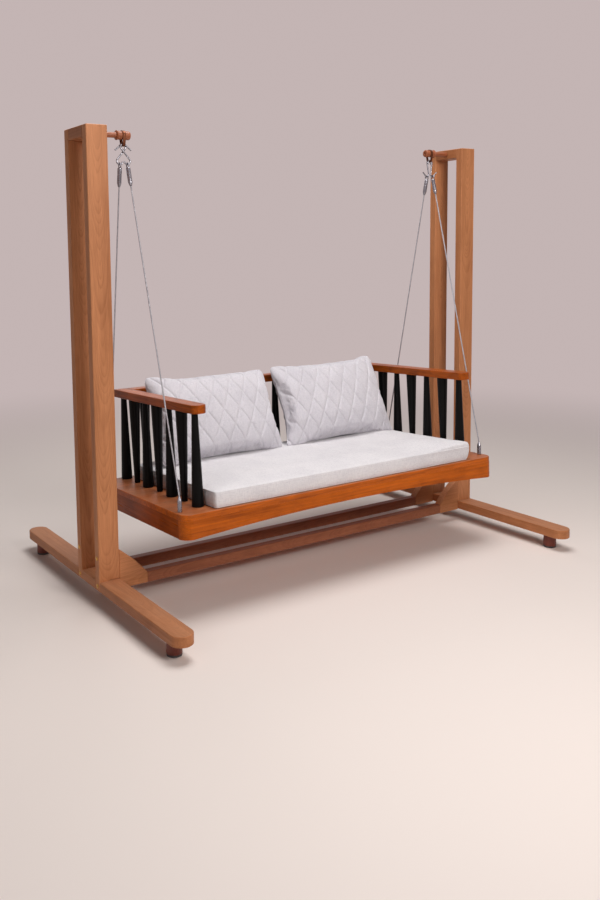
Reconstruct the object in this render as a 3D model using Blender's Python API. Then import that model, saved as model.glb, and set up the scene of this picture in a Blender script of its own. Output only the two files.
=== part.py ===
"""Wooden cradle swing: a cushioned seat hung by wire ropes between two free-standing post frames.

The frame stands on the floor at z = 0, centred on the origin. X runs along the seat, the seat's
front faces -Y, and Z is up. All sizes are in metres.
"""

import math

import bmesh
import bpy
from mathutils import Matrix, Vector

# Clearance between pieces that touch
FIT = 0.0003

# Post frames
STAND_HEIGHT = 1.880
STAND_SIDE_CLEARANCE = 0.117
BOARD_WIDTH = 0.088
POST_THICKNESS = 0.038
POST_GAP = 0.136
LAP_DEPTH = 0.044
FOOT_LENGTH = 1.448
FOOT_THICKNESS = 0.040
BLOCK_HEIGHT = 0.044
EDGE_CHAMFER = 0.002

# Floor pads
PAD_HEIGHT = 0.061
PAD_RADIUS = 0.029
PAD_NECK_RADIUS = 0.027
PAD_SETBACK = 0.095
PAD_TENON_RADIUS = 0.011
PAD_TENON_LENGTH = 0.022

# Stretchers and their corner brackets
STRETCHER_HEIGHT = 0.044
BRACKET_LENGTH = 0.126
BRACKET_RISE = 0.119
BRACKET_BULGE = 0.006
STRETCHER_TENON_LENGTH = 0.030
STRETCHER_TENON_HEIGHT = 0.024
STRETCHER_TENON_THICKNESS = 0.016

# Turned hanger pegs
PEG_RADIUS = 0.011
PEG_TENON_LENGTH = 0.060
PEG_NECK_LENGTH = 0.085
BARREL_LENGTH = 0.061
BARREL_RADIUS = 0.0175
COLLAR_RADIUS = 0.0195
COLLAR_WIDTH = 0.006
GROOVE_DEPTH = 0.0015
BARREL_NOSE = 0.006

# Straps and S-hooks
STRAP_WIDTH = 0.012
STRAP_THICKNESS = 0.0035
STRAP_DROP = 0.0435
STRAP_BASE_RADIUS = 0.011
STRAP_SIDE_PLAY = 0.0008
HOOK_WIRE_RADIUS = 0.0033
HOOK_BEND_RADIUS = 0.0125
HOOK_BEND_SPACING = 0.058
HOOK_TAIL_LENGTH = 0.030
HOOK_SIDE_PLAY = 0.0008
HOOK_LEAN = math.radians(15.0)

# Wire ropes with swaged eyes, and the anchors on the seat
EYE_RADIUS = 0.0095
EYE_WIRE_RADIUS = 0.0026
SLEEVE_RADIUS = 0.0090
SLEEVE_LENGTH = 0.078
SLEEVE_TAPER = 0.014
ROPE_RADIUS = 0.003
ANCHOR_RADIUS = 0.009
ANCHOR_HEIGHT = 0.045
ANCHOR_CONE = 0.015
ANCHOR_TIP_RADIUS = 0.0045
ANCHOR_SIDE_INSET = 0.0215
ANCHOR_END_INSET = 0.065
STUD_RADIUS = 0.004
STUD_LENGTH = 0.055

# Seat platform, measured from the hanging axis
SEAT_DROP = 1.459
REST_TILT = math.radians(-2.0)
SEAT_END_SETBACK = 0.119
SEAT_DEPTH = 0.754
SEAT_SHIFT = 0.0
SEAT_CORNER_RADIUS = 0.045
SEAT_BOARD_THICKNESS = 0.022
RAIL_HEIGHT = 0.074
RAIL_THICKNESS = 0.043
RAIL_TENON_LENGTH = 0.024
RAIL_TENON_HEIGHT = 0.040
RAIL_TENON_THICKNESS = 0.015
ARCH_SPAN = 1.600
ARCH_RISE = 0.029
BATTEN_WIDTH = 0.060
BATTEN_HEIGHT = 0.045

# Arms, back rail and turned spindles
ARM_SPACING = 1.442
ARM_CLEAR_HEIGHT = 0.368
ARM_WIDTH = 0.064
ARM_THICKNESS = 0.034
ARM_OVERHANG = 0.050
ARM_END_RADIUS = 0.026
BACK_SETBACK = 0.0345
FRONT_SETBACK = 0.0955
SIDE_SPINDLES = 7
BACK_SPACES = 14
SPINDLE_WIDE_RADIUS = 0.0245
SPINDLE_NARROW_RADIUS = 0.0125
SPINDLE_TENON_RADIUS = 0.007
SPINDLE_TENON_LENGTH = 0.015

# Cushions
CUSHION_THICKNESS = 0.064
CUSHION_CROWN = 0.018
CUSHION_BULGE = 0.004
CUSHION_CORNER_RADIUS = 0.016
CUSHION_FRONT_SETBACK = 0.012
CUSHION_PLAY = 0.004
CUSHION_SEAM = 0.004
PILLOW_HEIGHT = 0.402
PILLOW_FRONT_SWELL = 0.070
PILLOW_BACK_SWELL = 0.060
PILLOW_DRAW_IN = 0.055
PILLOW_GAP = 0.030
PILLOW_END_PLAY = 0.035
PILLOW_EAR = 0.045
PILLOW_SINK = 0.014
PILLOW_LEAN = math.radians(23.0)

# Facets of round pieces
TURNED_SIDES = 16
SPINDLE_SIDES = 12
WIRE_SIDES = 8
ARC_STEP = math.radians(15.0)

# Levels and faces that several pieces share
SEAT_LENGTH = ARM_SPACING + 2 * SEAT_END_SETBACK
STAND_SPAN = SEAT_LENGTH + 2 * (STAND_SIDE_CLEARANCE + BOARD_WIDTH)
SPINDLE_RUN = SEAT_DEPTH - FRONT_SETBACK - BACK_SETBACK
FOOT_TOP = PAD_HEIGHT + FOOT_THICKNESS
POST_OUTER = STAND_SPAN / 2
POST_INNER = POST_OUTER - BOARD_WIDTH
FOOT_CENTRE = POST_OUTER - BOARD_WIDTH / 2
POST_NEAR = POST_GAP / 2
POST_FAR = POST_NEAR + POST_THICKNESS
POST_MIDDLE = (POST_NEAR + POST_FAR) / 2
PIVOT_HEIGHT = STAND_HEIGHT - BLOCK_HEIGHT / 2
STRETCHER_BOTTOM = FOOT_TOP - STRETCHER_HEIGHT
BRACKET_END = POST_INNER - FIT - BRACKET_LENGTH
GROOVE_RADIUS = BARREL_RADIUS - GROOVE_DEPTH
STRAP_X = POST_INNER - PEG_NECK_LENGTH - BARREL_LENGTH / 2
SEAT_TOP = -SEAT_DROP
BOARD_BOTTOM = SEAT_TOP - SEAT_BOARD_THICKNESS
RAIL_TOP = BOARD_BOTTOM - FIT
RAIL_BOTTOM = RAIL_TOP - RAIL_HEIGHT
SEAT_FRONT = SEAT_SHIFT - SEAT_DEPTH / 2
SEAT_REAR = SEAT_SHIFT + SEAT_DEPTH / 2
BACK_ROW = SEAT_REAR - BACK_SETBACK
ARM_X = ARM_SPACING / 2
ARM_BOTTOM = SEAT_TOP + ARM_CLEAR_HEIGHT
BACK_RAIL_FRONT = BACK_ROW - ARM_WIDTH / 2
CUSHION_HALF_LENGTH = ARM_X - SPINDLE_WIDE_RADIUS - CUSHION_PLAY
CUSHION_FRONT = SEAT_FRONT + CUSHION_FRONT_SETBACK
CUSHION_REAR = BACK_ROW - SPINDLE_WIDE_RADIUS - CUSHION_PLAY
CUSHION_HALF_DEPTH = (CUSHION_REAR - CUSHION_FRONT) / 2
CUSHION_MIDDLE = (CUSHION_REAR + CUSHION_FRONT) / 2
CUSHION_BASE = SEAT_TOP + FIT
PILLOW_ROOM = ARM_SPACING - 2 * SPINDLE_WIDE_RADIUS - 2 * PILLOW_END_PLAY
PILLOW_WIDTH = (PILLOW_ROOM - PILLOW_GAP) / 2
PILLOW_SPACING = PILLOW_WIDTH + PILLOW_GAP

SIDES = {"left": -1, "right": 1}
ENDS = {"front": -1, "rear": 1}


def clear_scene():
    for item in list(bpy.data.objects):
        bpy.data.objects.remove(item)


def make_material(name, colour, roughness, metallic=0.0):
    material = bpy.data.materials.new(name)
    material.use_nodes = True
    shader = material.node_tree.nodes["Principled BSDF"]
    shader.inputs["Base Color"].default_value = (*colour, 1.0)
    shader.inputs["Roughness"].default_value = roughness
    shader.inputs["Metallic"].default_value = metallic
    return material


def make_materials():
    return {
        "stand_wood": make_material("stand_wood", (0.36, 0.15, 0.07), 0.45),
        "seat_wood": make_material("seat_wood", (0.42, 0.12, 0.025), 0.35),
        "black_lacquer": make_material("black_lacquer", (0.006, 0.006, 0.007), 0.35),
        "steel": make_material("steel", (0.62, 0.63, 0.66), 0.2, 1.0),
        "bronze": make_material("bronze", (0.33, 0.15, 0.07), 0.4, 1.0),
        "heather_fabric": make_material("heather_fabric", (0.68, 0.65, 0.66), 0.9),
    }


def to_object(name, bm):
    bmesh.ops.recalc_face_normals(bm, faces=bm.faces)
    if bm.calc_volume(signed=True) < 0:
        bmesh.ops.reverse_faces(bm, faces=bm.faces)
    mesh = bpy.data.meshes.new(name)
    bm.to_mesh(mesh)
    bm.free()
    item = bpy.data.objects.new(name, mesh)
    bpy.context.scene.collection.objects.link(item)
    return item


def finish(item, material, parent=None, smooth=False):
    item.data.materials.clear()
    item.data.materials.append(material)
    item.parent = parent
    if smooth:
        item.data.shade_smooth()
        item.data.set_sharp_from_angle(angle=math.radians(35.0))
    return item


def boolean(target, tool, operation):
    modifier = target.modifiers.new(operation.lower(), "BOOLEAN")
    modifier.operation = operation
    modifier.solver = "EXACT"
    modifier.object = tool
    bpy.context.view_layer.update()
    graph = bpy.context.evaluated_depsgraph_get()
    mesh = bpy.data.meshes.new_from_object(target.evaluated_get(graph))
    target.modifiers.clear()
    target.data = mesh
    bpy.data.objects.remove(tool)


def prism(outline, plane, low, high):
    """A flat outline in the XY, XZ or YZ plane, extruded along the third axis."""
    order = {"XY": (0, 1, 2), "XZ": (0, 2, 1), "YZ": (1, 2, 0)}[plane]
    bm = bmesh.new()
    corners = []
    for a, b in outline:
        point = [0.0, 0.0, 0.0]
        point[order[0]] = a
        point[order[1]] = b
        point[order[2]] = low
        corners.append(bm.verts.new(point))
    face = bm.faces.new(corners)
    raised = bmesh.ops.extrude_face_region(bm, geom=[face])["geom"]
    shift = [0.0, 0.0, 0.0]
    shift[order[2]] = high - low
    bmesh.ops.translate(bm, vec=shift, verts=[v for v in raised if isinstance(v, bmesh.types.BMVert)])
    bmesh.ops.recalc_face_normals(bm, faces=bm.faces)
    return bm


def box(x_range, y_range, z_range):
    outline = [(x_range[0], y_range[0]), (x_range[1], y_range[0]), (x_range[1], y_range[1]), (x_range[0], y_range[1])]
    return prism(outline, "XY", *z_range)


def chamfer(bm, width=EDGE_CHAMFER, level=None):
    """Breaks the sharp edges, or only those at one height."""
    sharp = [e for e in bm.edges if e.calc_face_angle(0.0) > math.radians(40.0) and e.is_convex]
    if level is not None:
        sharp = [e for e in sharp if all(abs(v.co.z - level) < FIT for v in e.verts)]
    bmesh.ops.bevel(bm, geom=sharp, offset=width, segments=1, affect="EDGES", clamp_overlap=True)
    return bm


def turned(profile, sides):
    """A lathe form about Z from (height, radius) pairs that start and end on the axis."""
    bm = bmesh.new()
    line = [bm.verts.new((radius, 0.0, height)) for height, radius in profile]
    for lower, upper in zip(line, line[1:]):
        bm.edges.new((lower, upper))
    bmesh.ops.spin(bm, geom=bm.verts[:] + bm.edges[:], axis=(0, 0, 1), cent=(0, 0, 0),
                   angle=2 * math.pi, steps=sides, use_merge=True)
    bmesh.ops.remove_doubles(bm, verts=bm.verts, dist=1e-6)
    return bm


def placed(bm, matrix):
    bmesh.ops.transform(bm, matrix=matrix, verts=bm.verts)
    return bm


def pin(radius, low, high, sides=TURNED_SIDES):
    return turned([(low, 0.0), (low, radius), (high, radius), (high, 0.0)], sides)


def arc(centre, radius, start, end):
    """Points of a circular arc, both ends included."""
    count = max(2, math.ceil(abs(end - start) / ARC_STEP - 1e-6))
    points = []
    for step in range(count + 1):
        angle = start + (end - start) * step / count
        points.append((centre[0] + radius * math.cos(angle), centre[1] + radius * math.sin(angle)))
    return points


def rounded_rectangle(half_x, half_y, radius, centre_y=0.0):
    quarter = math.pi / 2
    outline = []
    for turn, (sx, sy) in enumerate(((1, 1), (-1, 1), (-1, -1), (1, -1))):
        centre = (sx * (half_x - radius), centre_y + sy * (half_y - radius))
        outline += arc(centre, radius, turn * quarter, (turn + 1) * quarter)
    return outline


def mirrored(outline, side):
    """The outline of a right-hand piece, turned over for the left."""
    return [(side * a, b) for a, b in outline]


def pad_places():
    reach = FOOT_LENGTH / 2 - PAD_SETBACK
    return {end: sign * reach for end, sign in ENDS.items()}


def make_foot(side_name, side):
    """A long foot with round ends and two notches in its outer side for the posts."""
    half = BOARD_WIDTH / 2
    straight = FOOT_LENGTH / 2 - half
    notch = POST_OUTER - LAP_DEPTH - FIT
    outline = arc((FOOT_CENTRE, -straight), half, -math.pi, 0.0)
    for near, far in ((-POST_FAR, -POST_NEAR), (POST_NEAR, POST_FAR)):
        outline += [(POST_OUTER, near - FIT), (notch, near - FIT), (notch, far + FIT), (POST_OUTER, far + FIT)]
    outline += arc((FOOT_CENTRE, straight), half, 0.0, math.pi)
    foot = to_object(f"{side_name}_foot", chamfer(prism(mirrored(outline, side), "XY", PAD_HEIGHT, FOOT_TOP)))
    for place in pad_places().values():
        socket = pin(PAD_TENON_RADIUS + FIT, PAD_HEIGHT - FIT, PAD_HEIGHT + PAD_TENON_LENGTH + FIT)
        placed(socket, Matrix.Translation((side * FOOT_CENTRE, place, 0.0)))
        boolean(foot, to_object("socket", socket), "DIFFERENCE")
    return foot


def make_pad(name, side, place):
    profile = [(0.0, 0.0), (0.0, PAD_RADIUS - EDGE_CHAMFER), (EDGE_CHAMFER, PAD_RADIUS),
               (PAD_HEIGHT - FIT, PAD_NECK_RADIUS), (PAD_HEIGHT - FIT, PAD_TENON_RADIUS),
               (PAD_HEIGHT + PAD_TENON_LENGTH, PAD_TENON_RADIUS), (PAD_HEIGHT + PAD_TENON_LENGTH, 0.0)]
    pad = turned(profile, TURNED_SIDES)
    return to_object(name, placed(pad, Matrix.Translation((side * FOOT_CENTRE, place, 0.0))))


def make_post(name, side, end):
    """A board whose lower end laps over the outer half of the foot."""
    tongue = POST_OUTER - LAP_DEPTH
    outline = [(POST_INNER, FOOT_TOP + FIT), (tongue, FOOT_TOP + FIT), (tongue, PAD_HEIGHT),
               (POST_OUTER, PAD_HEIGHT), (POST_OUTER, STAND_HEIGHT), (POST_INNER, STAND_HEIGHT)]
    near, far = sorted((end * POST_NEAR, end * POST_FAR))
    return to_object(name, chamfer(prism(mirrored(outline, side), "XZ", near, far)))


def axis_towards_middle(side):
    """Turns +Z to the direction in which a hanger peg points."""
    return Matrix.Rotation(-side * math.pi / 2, 4, "Y")


def make_block(name, side):
    """The spacer between two posts, bored for the peg."""
    x_range = sorted((side * POST_INNER, side * POST_OUTER))
    depth = POST_NEAR - FIT
    block = to_object(name, chamfer(box(x_range, (-depth, depth), (STAND_HEIGHT - BLOCK_HEIGHT, STAND_HEIGHT))))
    bore = pin(PEG_RADIUS + FIT, -PEG_TENON_LENGTH - FIT, BOARD_WIDTH)
    seat = Matrix.Translation((side * POST_INNER, 0.0, PIVOT_HEIGHT)) @ axis_towards_middle(side)
    boolean(block, to_object("bore", placed(bore, seat)), "DIFFERENCE")
    return block


def make_peg(name, side):
    """A turned peg: tenon, neck, collar, then a barrel with a groove for the strap and a rounded nose."""
    collar = PEG_NECK_LENGTH
    groove_half = STRAP_WIDTH / 2 + STRAP_SIDE_PLAY
    groove = PEG_NECK_LENGTH + BARREL_LENGTH / 2
    tip = PEG_NECK_LENGTH + BARREL_LENGTH
    profile = [(-PEG_TENON_LENGTH, 0.0), (-PEG_TENON_LENGTH, PEG_RADIUS), (collar, PEG_RADIUS),
               (collar, BARREL_RADIUS), (collar + COLLAR_WIDTH / 2, COLLAR_RADIUS),
               (collar + COLLAR_WIDTH, BARREL_RADIUS),
               (groove - groove_half - GROOVE_DEPTH, BARREL_RADIUS), (groove - groove_half, GROOVE_RADIUS),
               (groove + groove_half, GROOVE_RADIUS), (groove + groove_half + GROOVE_DEPTH, BARREL_RADIUS)]
    nose = arc((tip - BARREL_NOSE, BARREL_RADIUS - BARREL_NOSE), BARREL_NOSE, math.pi / 2, 0.0)
    profile += nose[::2]
    profile.append((tip, 0.0))
    seat = Matrix.Translation((side * POST_INNER, 0.0, PIVOT_HEIGHT)) @ axis_towards_middle(side)
    return to_object(name, placed(turned(profile, TURNED_SIDES), seat))


def tenon_box(x_range, y_middle, clearance):
    half = STRETCHER_TENON_THICKNESS / 2 + clearance
    middle = (STRETCHER_BOTTOM + FOOT_TOP) / 2
    rise = STRETCHER_TENON_HEIGHT / 2 + clearance
    return box(x_range, (y_middle - half, y_middle + half), (middle - rise, middle + rise))


def make_stretcher(name, end):
    """A low bar between the frames, tenoned at each end into a corner bracket."""
    reach = BRACKET_END - FIT
    near, far = sorted((end * POST_NEAR, end * POST_FAR))
    bar = to_object(name, chamfer(box((-reach, reach), (near, far), (STRETCHER_BOTTOM, FOOT_TOP))))
    long_tenon = reach + STRETCHER_TENON_LENGTH
    boolean(bar, to_object("tenons", tenon_box((-long_tenon, long_tenon), end * POST_MIDDLE, 0.0)), "UNION")
    return bar


def make_bracket(name, side, end):
    """A corner block with a swelling slope from the post down to the stretcher."""
    face = POST_INNER - FIT
    low = Vector((BRACKET_END, FOOT_TOP))
    high = Vector((face, FOOT_TOP + BRACKET_RISE))
    chord = (high - low).length
    radius = (chord ** 2 / 4 + BRACKET_BULGE ** 2) / (2 * BRACKET_BULGE)
    along = (high - low).normalized()
    inward = Vector((along.y, -along.x))
    centre = (high + low) / 2 + inward * (radius - BRACKET_BULGE)
    sweep = math.asin(chord / 2 / radius)
    middle = math.atan2(-inward.y, -inward.x)
    slope = arc(centre, radius, middle + sweep, middle - sweep)
    outline = [(face, STRETCHER_BOTTOM), (BRACKET_END, STRETCHER_BOTTOM)] + slope
    near, far = sorted((end * POST_NEAR, end * POST_FAR))
    bracket = to_object(name, chamfer(prism(mirrored(outline, side), "XZ", near, far)))
    deep = side * (BRACKET_END + STRETCHER_TENON_LENGTH + FIT)
    x_range = sorted((side * (BRACKET_END - BRACKET_LENGTH), deep))
    boolean(bracket, to_object("mortise", tenon_box(x_range, end * POST_MIDDLE, FIT)), "DIFFERENCE")
    return bracket


def belt(top_radius, base_radius, spacing):
    """A closed band outline round two circles, one straight below the other, in the YZ plane."""
    slant = math.asin((top_radius - base_radius) / spacing)
    upper = arc((0.0, 0.0), top_radius, -slant, math.pi + slant)
    lower = arc((0.0, -spacing), base_radius, math.pi + slant, 2 * math.pi - slant)
    return upper + lower


def make_strap(name, side):
    """A metal band that turns in the groove of the peg and carries both hooks."""
    top_radius = (GROOVE_RADIUS + FIT) / math.cos(ARC_STEP / 2)
    spacing = STRAP_DROP - STRAP_THICKNESS - STRAP_BASE_RADIUS
    left = side * STRAP_X - STRAP_WIDTH / 2
    right = side * STRAP_X + STRAP_WIDTH / 2
    outer = belt(top_radius + STRAP_THICKNESS, STRAP_BASE_RADIUS + STRAP_THICKNESS, spacing)
    inner = belt(top_radius, STRAP_BASE_RADIUS, spacing)
    strap = to_object(name, prism(outer, "YZ", left, right))
    hole = prism(inner, "YZ", left - STRAP_WIDTH, right + STRAP_WIDTH)
    boolean(strap, to_object("hole", hole), "DIFFERENCE")
    return strap


def hook_top():
    """Height of a hook's upper bend centre, where its wire rests on the bottom of the strap."""
    half = STRAP_WIDTH / 2
    rise = math.sqrt(HOOK_BEND_RADIUS ** 2 - half ** 2)
    reach = rise - math.sqrt((HOOK_BEND_RADIUS - HOOK_WIRE_RADIUS) ** 2 - half ** 2)
    base = STRAP_DROP - STRAP_THICKNESS - STRAP_BASE_RADIUS
    room = STRAP_BASE_RADIUS - FIT - reach
    return -base - math.sqrt(room ** 2 - hook_y(1) ** 2) - rise


def hook_y(end):
    return end * (HOOK_WIRE_RADIUS + HOOK_SIDE_PLAY)


def hook_base(side, end):
    """Centre of the wire at the lowest point of a hook, where a rope's eye hangs."""
    lean = -end * HOOK_LEAN
    x = side * STRAP_X + HOOK_BEND_SPACING * math.sin(lean)
    z = hook_top() - HOOK_BEND_SPACING * math.cos(lean) - HOOK_BEND_RADIUS
    return Vector((x, hook_y(end), z))


def hook_line():
    """Centre line of an S-hook in its own plane, with the flared tail at the top."""
    slant = math.asin(2 * HOOK_BEND_RADIUS / HOOK_BEND_SPACING)
    opening = math.radians(130.0)
    upper = arc((0.0, 0.0), HOOK_BEND_RADIUS, opening, -slant)
    lower = arc((0.0, -HOOK_BEND_SPACING), HOOK_BEND_RADIUS, math.pi - slant, math.radians(375.0))
    start = Vector(upper[0])
    tail = start - HOOK_TAIL_LENGTH * Vector((math.sin(opening), -math.cos(opening)))
    return [tuple(tail)] + upper + lower


def make_hook(name, side, end):
    """A bent wire hook. The left pair cross and hang with their tails up, the right pair with theirs down."""
    lean = -end * HOOK_LEAN
    hand = -end * side
    points = []
    for u, w in hook_line():
        if side > 0:
            u, w = -u, -HOOK_BEND_SPACING - w
        u *= hand
        x = u * math.cos(lean) - w * math.sin(lean)
        z = u * math.sin(lean) + w * math.cos(lean)
        points.append((side * STRAP_X + x, hook_y(end), hook_top() + z))
    return wire(name, points, HOOK_WIRE_RADIUS)


def wire(name, points, radius):
    curve = bpy.data.curves.new(name, "CURVE")
    curve.dimensions = "3D"
    curve.bevel_depth = radius
    curve.bevel_resolution = (WIRE_SIDES - 4) // 2
    curve.use_fill_caps = True
    spline = curve.splines.new("POLY")
    spline.points.add(len(points) - 1)
    for knot, point in zip(spline.points, points):
        knot.co = (*point, 1.0)
    item = bpy.data.objects.new(name, curve)
    bpy.context.scene.collection.objects.link(item)
    return item


def anchor_place(side, end):
    x = side * (SEAT_LENGTH / 2 - ANCHOR_SIDE_INSET)
    y = SEAT_SHIFT + end * (SEAT_DEPTH / 2 - ANCHOR_END_INSET)
    return Vector((x, y, SEAT_TOP))


def make_anchor(name, side, end):
    """A swaged rope end standing on the seat, with a stud through the board into the side rail."""
    profile = [(-STUD_LENGTH, 0.0), (-STUD_LENGTH, STUD_RADIUS), (FIT, STUD_RADIUS),
               (FIT, ANCHOR_RADIUS), (ANCHOR_HEIGHT, ANCHOR_RADIUS),
               (ANCHOR_HEIGHT + ANCHOR_CONE, ANCHOR_TIP_RADIUS), (ANCHOR_HEIGHT + ANCHOR_CONE, 0.0)]
    anchor = turned(profile, SPINDLE_SIDES)
    return to_object(name, placed(anchor, Matrix.Translation(anchor_place(side, end))))


def torus(major, minor, steps, sides):
    """A ring about X."""
    bm = bmesh.new()
    circle = [bm.verts.new((minor * math.cos(2 * math.pi * k / sides), major + minor * math.sin(2 * math.pi * k / sides),
                            0.0)) for k in range(sides)]
    edges = [bm.edges.new((circle[k], circle[(k + 1) % sides])) for k in range(sides)]
    bmesh.ops.spin(bm, geom=circle + edges, axis=(1, 0, 0), cent=(0, 0, 0), angle=2 * math.pi,
                   steps=steps, use_merge=True)
    bmesh.ops.remove_doubles(bm, verts=bm.verts, dist=1e-6)
    return bm


def make_rope(name, side, end):
    """A taut wire rope whose upper end is swaged into a sleeve with an eye."""
    hook = hook_base(side, end)
    foot = anchor_place(side, end) + Vector((0.0, 0.0, ANCHOR_HEIGHT + ANCHOR_CONE))
    line = foot - hook
    down = line.normalized()
    slant = math.hypot(down.x, down.y)
    eye_drop = EYE_RADIUS - EYE_WIRE_RADIUS - HOOK_WIRE_RADIUS - FIT
    sleeve_top = eye_drop + EYE_RADIUS - EYE_WIRE_RADIUS / 2
    sleeve_end = sleeve_top + SLEEVE_LENGTH
    rope_end = line.length - (FIT + ROPE_RADIUS * slant) / abs(down.z)
    profile = [(-rope_end, 0.0), (-rope_end, ROPE_RADIUS), (-sleeve_end, ROPE_RADIUS),
               (-sleeve_end, ROPE_RADIUS + EYE_WIRE_RADIUS / 2), (SLEEVE_TAPER - sleeve_end, SLEEVE_RADIUS),
               (-sleeve_top - EYE_WIRE_RADIUS, SLEEVE_RADIUS), (-sleeve_top, SLEEVE_RADIUS - EYE_WIRE_RADIUS),
               (-sleeve_top, 0.0)]
    rope = to_object(name, turned(profile, SPINDLE_SIDES))
    eye = placed(torus(EYE_RADIUS, EYE_WIRE_RADIUS, TURNED_SIDES, WIRE_SIDES), Matrix.Translation((0.0, 0.0, -eye_drop)))
    boolean(rope, to_object("eye", eye), "UNION")
    up = -down
    across = (Vector((1.0, 0.0, 0.0)) - up * up.x).normalized()
    turn = Matrix((across, up.cross(across), up)).transposed().to_4x4()
    rope.data.transform(Matrix.Translation(hook) @ turn)
    return rope


def side_row(index):
    """Depth of a side spindle, counted from the front."""
    return BACK_ROW - SPINDLE_RUN * (SIDE_SPINDLES - 1 - index) / (SIDE_SPINDLES - 1)


def back_row(index):
    """Place along X of a back spindle, counted from the left corner."""
    return -ARM_X + ARM_SPACING * index / BACK_SPACES


def spindle_profile(from_corner):
    """A cone with a tenon at each end. Neighbours stand opposite ways up, widest at the seat in the corners."""
    low, high = SPINDLE_WIDE_RADIUS, SPINDLE_NARROW_RADIUS
    if from_corner % 2:
        low, high = high, low
    bottom = SEAT_TOP + FIT
    top = ARM_BOTTOM - FIT
    return [(bottom - SPINDLE_TENON_LENGTH, 0.0), (bottom - SPINDLE_TENON_LENGTH, SPINDLE_TENON_RADIUS),
            (bottom, SPINDLE_TENON_RADIUS), (bottom, low), (top, high), (top, SPINDLE_TENON_RADIUS),
            (top + SPINDLE_TENON_LENGTH, SPINDLE_TENON_RADIUS), (top + SPINDLE_TENON_LENGTH, 0.0)]


def make_spindle(name, x, y, from_corner):
    spindle = turned(spindle_profile(from_corner), SPINDLE_SIDES)
    return to_object(name, placed(spindle, Matrix.Translation((x, y, 0.0))))


def drill(item, places, radius, low, high):
    for x, y in places:
        hole = placed(pin(radius, low, high, SPINDLE_SIDES), Matrix.Translation((x, y, 0.0)))
        boolean(item, to_object("hole", hole), "DIFFERENCE")


def anchor_holes():
    return [anchor_place(side, end).xy for side in SIDES.values() for end in ENDS.values()]


def make_seat_board():
    """The seat's top panel, drilled for every spindle and rope anchor."""
    outline = rounded_rectangle(SEAT_LENGTH / 2, SEAT_DEPTH / 2, SEAT_CORNER_RADIUS, SEAT_SHIFT)
    board = to_object("seat_board", chamfer(prism(outline, "XY", BOARD_BOTTOM, SEAT_TOP), level=SEAT_TOP))
    feet = [(side * ARM_X, side_row(k)) for side in SIDES.values() for k in range(SIDE_SPINDLES)]
    feet += [(back_row(k), BACK_ROW) for k in range(1, BACK_SPACES)]
    drill(board, feet, SPINDLE_TENON_RADIUS + FIT, SEAT_TOP - SPINDLE_TENON_LENGTH - FIT, SEAT_TOP + FIT)
    drill(board, anchor_holes(), STUD_RADIUS + FIT, BOARD_BOTTOM - FIT, SEAT_TOP + FIT)
    return board


def rail_tenon(x_middle, y_range, clearance):
    half = RAIL_TENON_THICKNESS / 2 + clearance
    middle = (RAIL_TOP + RAIL_BOTTOM + ARCH_RISE) / 2
    rise = RAIL_TENON_HEIGHT / 2 + clearance
    return box((x_middle - half, x_middle + half), y_range, (middle - rise, middle + rise))


def make_long_rail(name, end):
    """A front or rear rail with rounded ends, an arched lower edge and mortises for the side rails."""
    half = SEAT_LENGTH / 2
    radius = min(SEAT_CORNER_RADIUS, RAIL_THICKNESS)
    depth = SEAT_DEPTH / 2
    inner = depth - RAIL_THICKNESS
    outline = [(-half, inner), (half, inner)]
    outline += arc((half - radius, depth - radius), radius, 0.0, math.pi / 2)
    outline += arc((radius - half, depth - radius), radius, math.pi / 2, math.pi)
    outline = [(x, SEAT_SHIFT + end * y) for x, y in outline]
    rail = to_object(name, chamfer(prism(outline, "XY", RAIL_BOTTOM, RAIL_TOP), level=RAIL_BOTTOM))
    arch_radius = (ARCH_SPAN ** 2 / 4 + ARCH_RISE ** 2) / (2 * ARCH_RISE)
    sweep = math.asin(ARCH_SPAN / 2 / arch_radius)
    centre = (0.0, RAIL_BOTTOM + ARCH_RISE - arch_radius)
    steps = 2 * TURNED_SIDES
    crown = []
    for step in range(steps + 1):
        angle = math.pi / 2 + sweep * (2 * step / steps - 1)
        crown.append((centre[0] + arch_radius * math.cos(angle), centre[1] + arch_radius * math.sin(angle)))
    below = RAIL_BOTTOM - RAIL_HEIGHT
    outside = SEAT_DEPTH
    arch = prism([(-ARCH_SPAN / 2, below), (ARCH_SPAN / 2, below)] + crown, "XZ", -outside, outside)
    boolean(rail, to_object("arch", arch), "DIFFERENCE")
    for side in SIDES.values():
        y_range = sorted((SEAT_SHIFT + end * (inner - RAIL_THICKNESS), SEAT_SHIFT + end * (inner + RAIL_TENON_LENGTH + FIT)))
        boolean(rail, to_object("mortise", rail_tenon(side * side_rail_middle(), y_range, FIT)), "DIFFERENCE")
    return rail


def side_rail_middle():
    return SEAT_LENGTH / 2 - RAIL_THICKNESS / 2


def make_side_rail(name, side):
    """A straight rail between the long ones, tenoned into both and drilled for two rope anchors."""
    outer = SEAT_LENGTH / 2
    reach = SEAT_DEPTH / 2 - RAIL_THICKNESS - FIT
    x_range = sorted((side * outer, side * (outer - RAIL_THICKNESS)))
    block = box(x_range, (SEAT_SHIFT - reach, SEAT_SHIFT + reach), (RAIL_BOTTOM, RAIL_TOP))
    rail = to_object(name, chamfer(block, level=RAIL_BOTTOM))
    long_reach = reach + FIT + RAIL_TENON_LENGTH
    tenons = rail_tenon(side * side_rail_middle(), (SEAT_SHIFT - long_reach, SEAT_SHIFT + long_reach), 0.0)
    boolean(rail, to_object("tenons", tenons), "UNION")
    studs = [anchor_place(side, end).xy for end in ENDS.values()]
    drill(rail, studs, STUD_RADIUS + FIT, SEAT_TOP - STUD_LENGTH - FIT, SEAT_TOP)
    return rail


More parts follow.
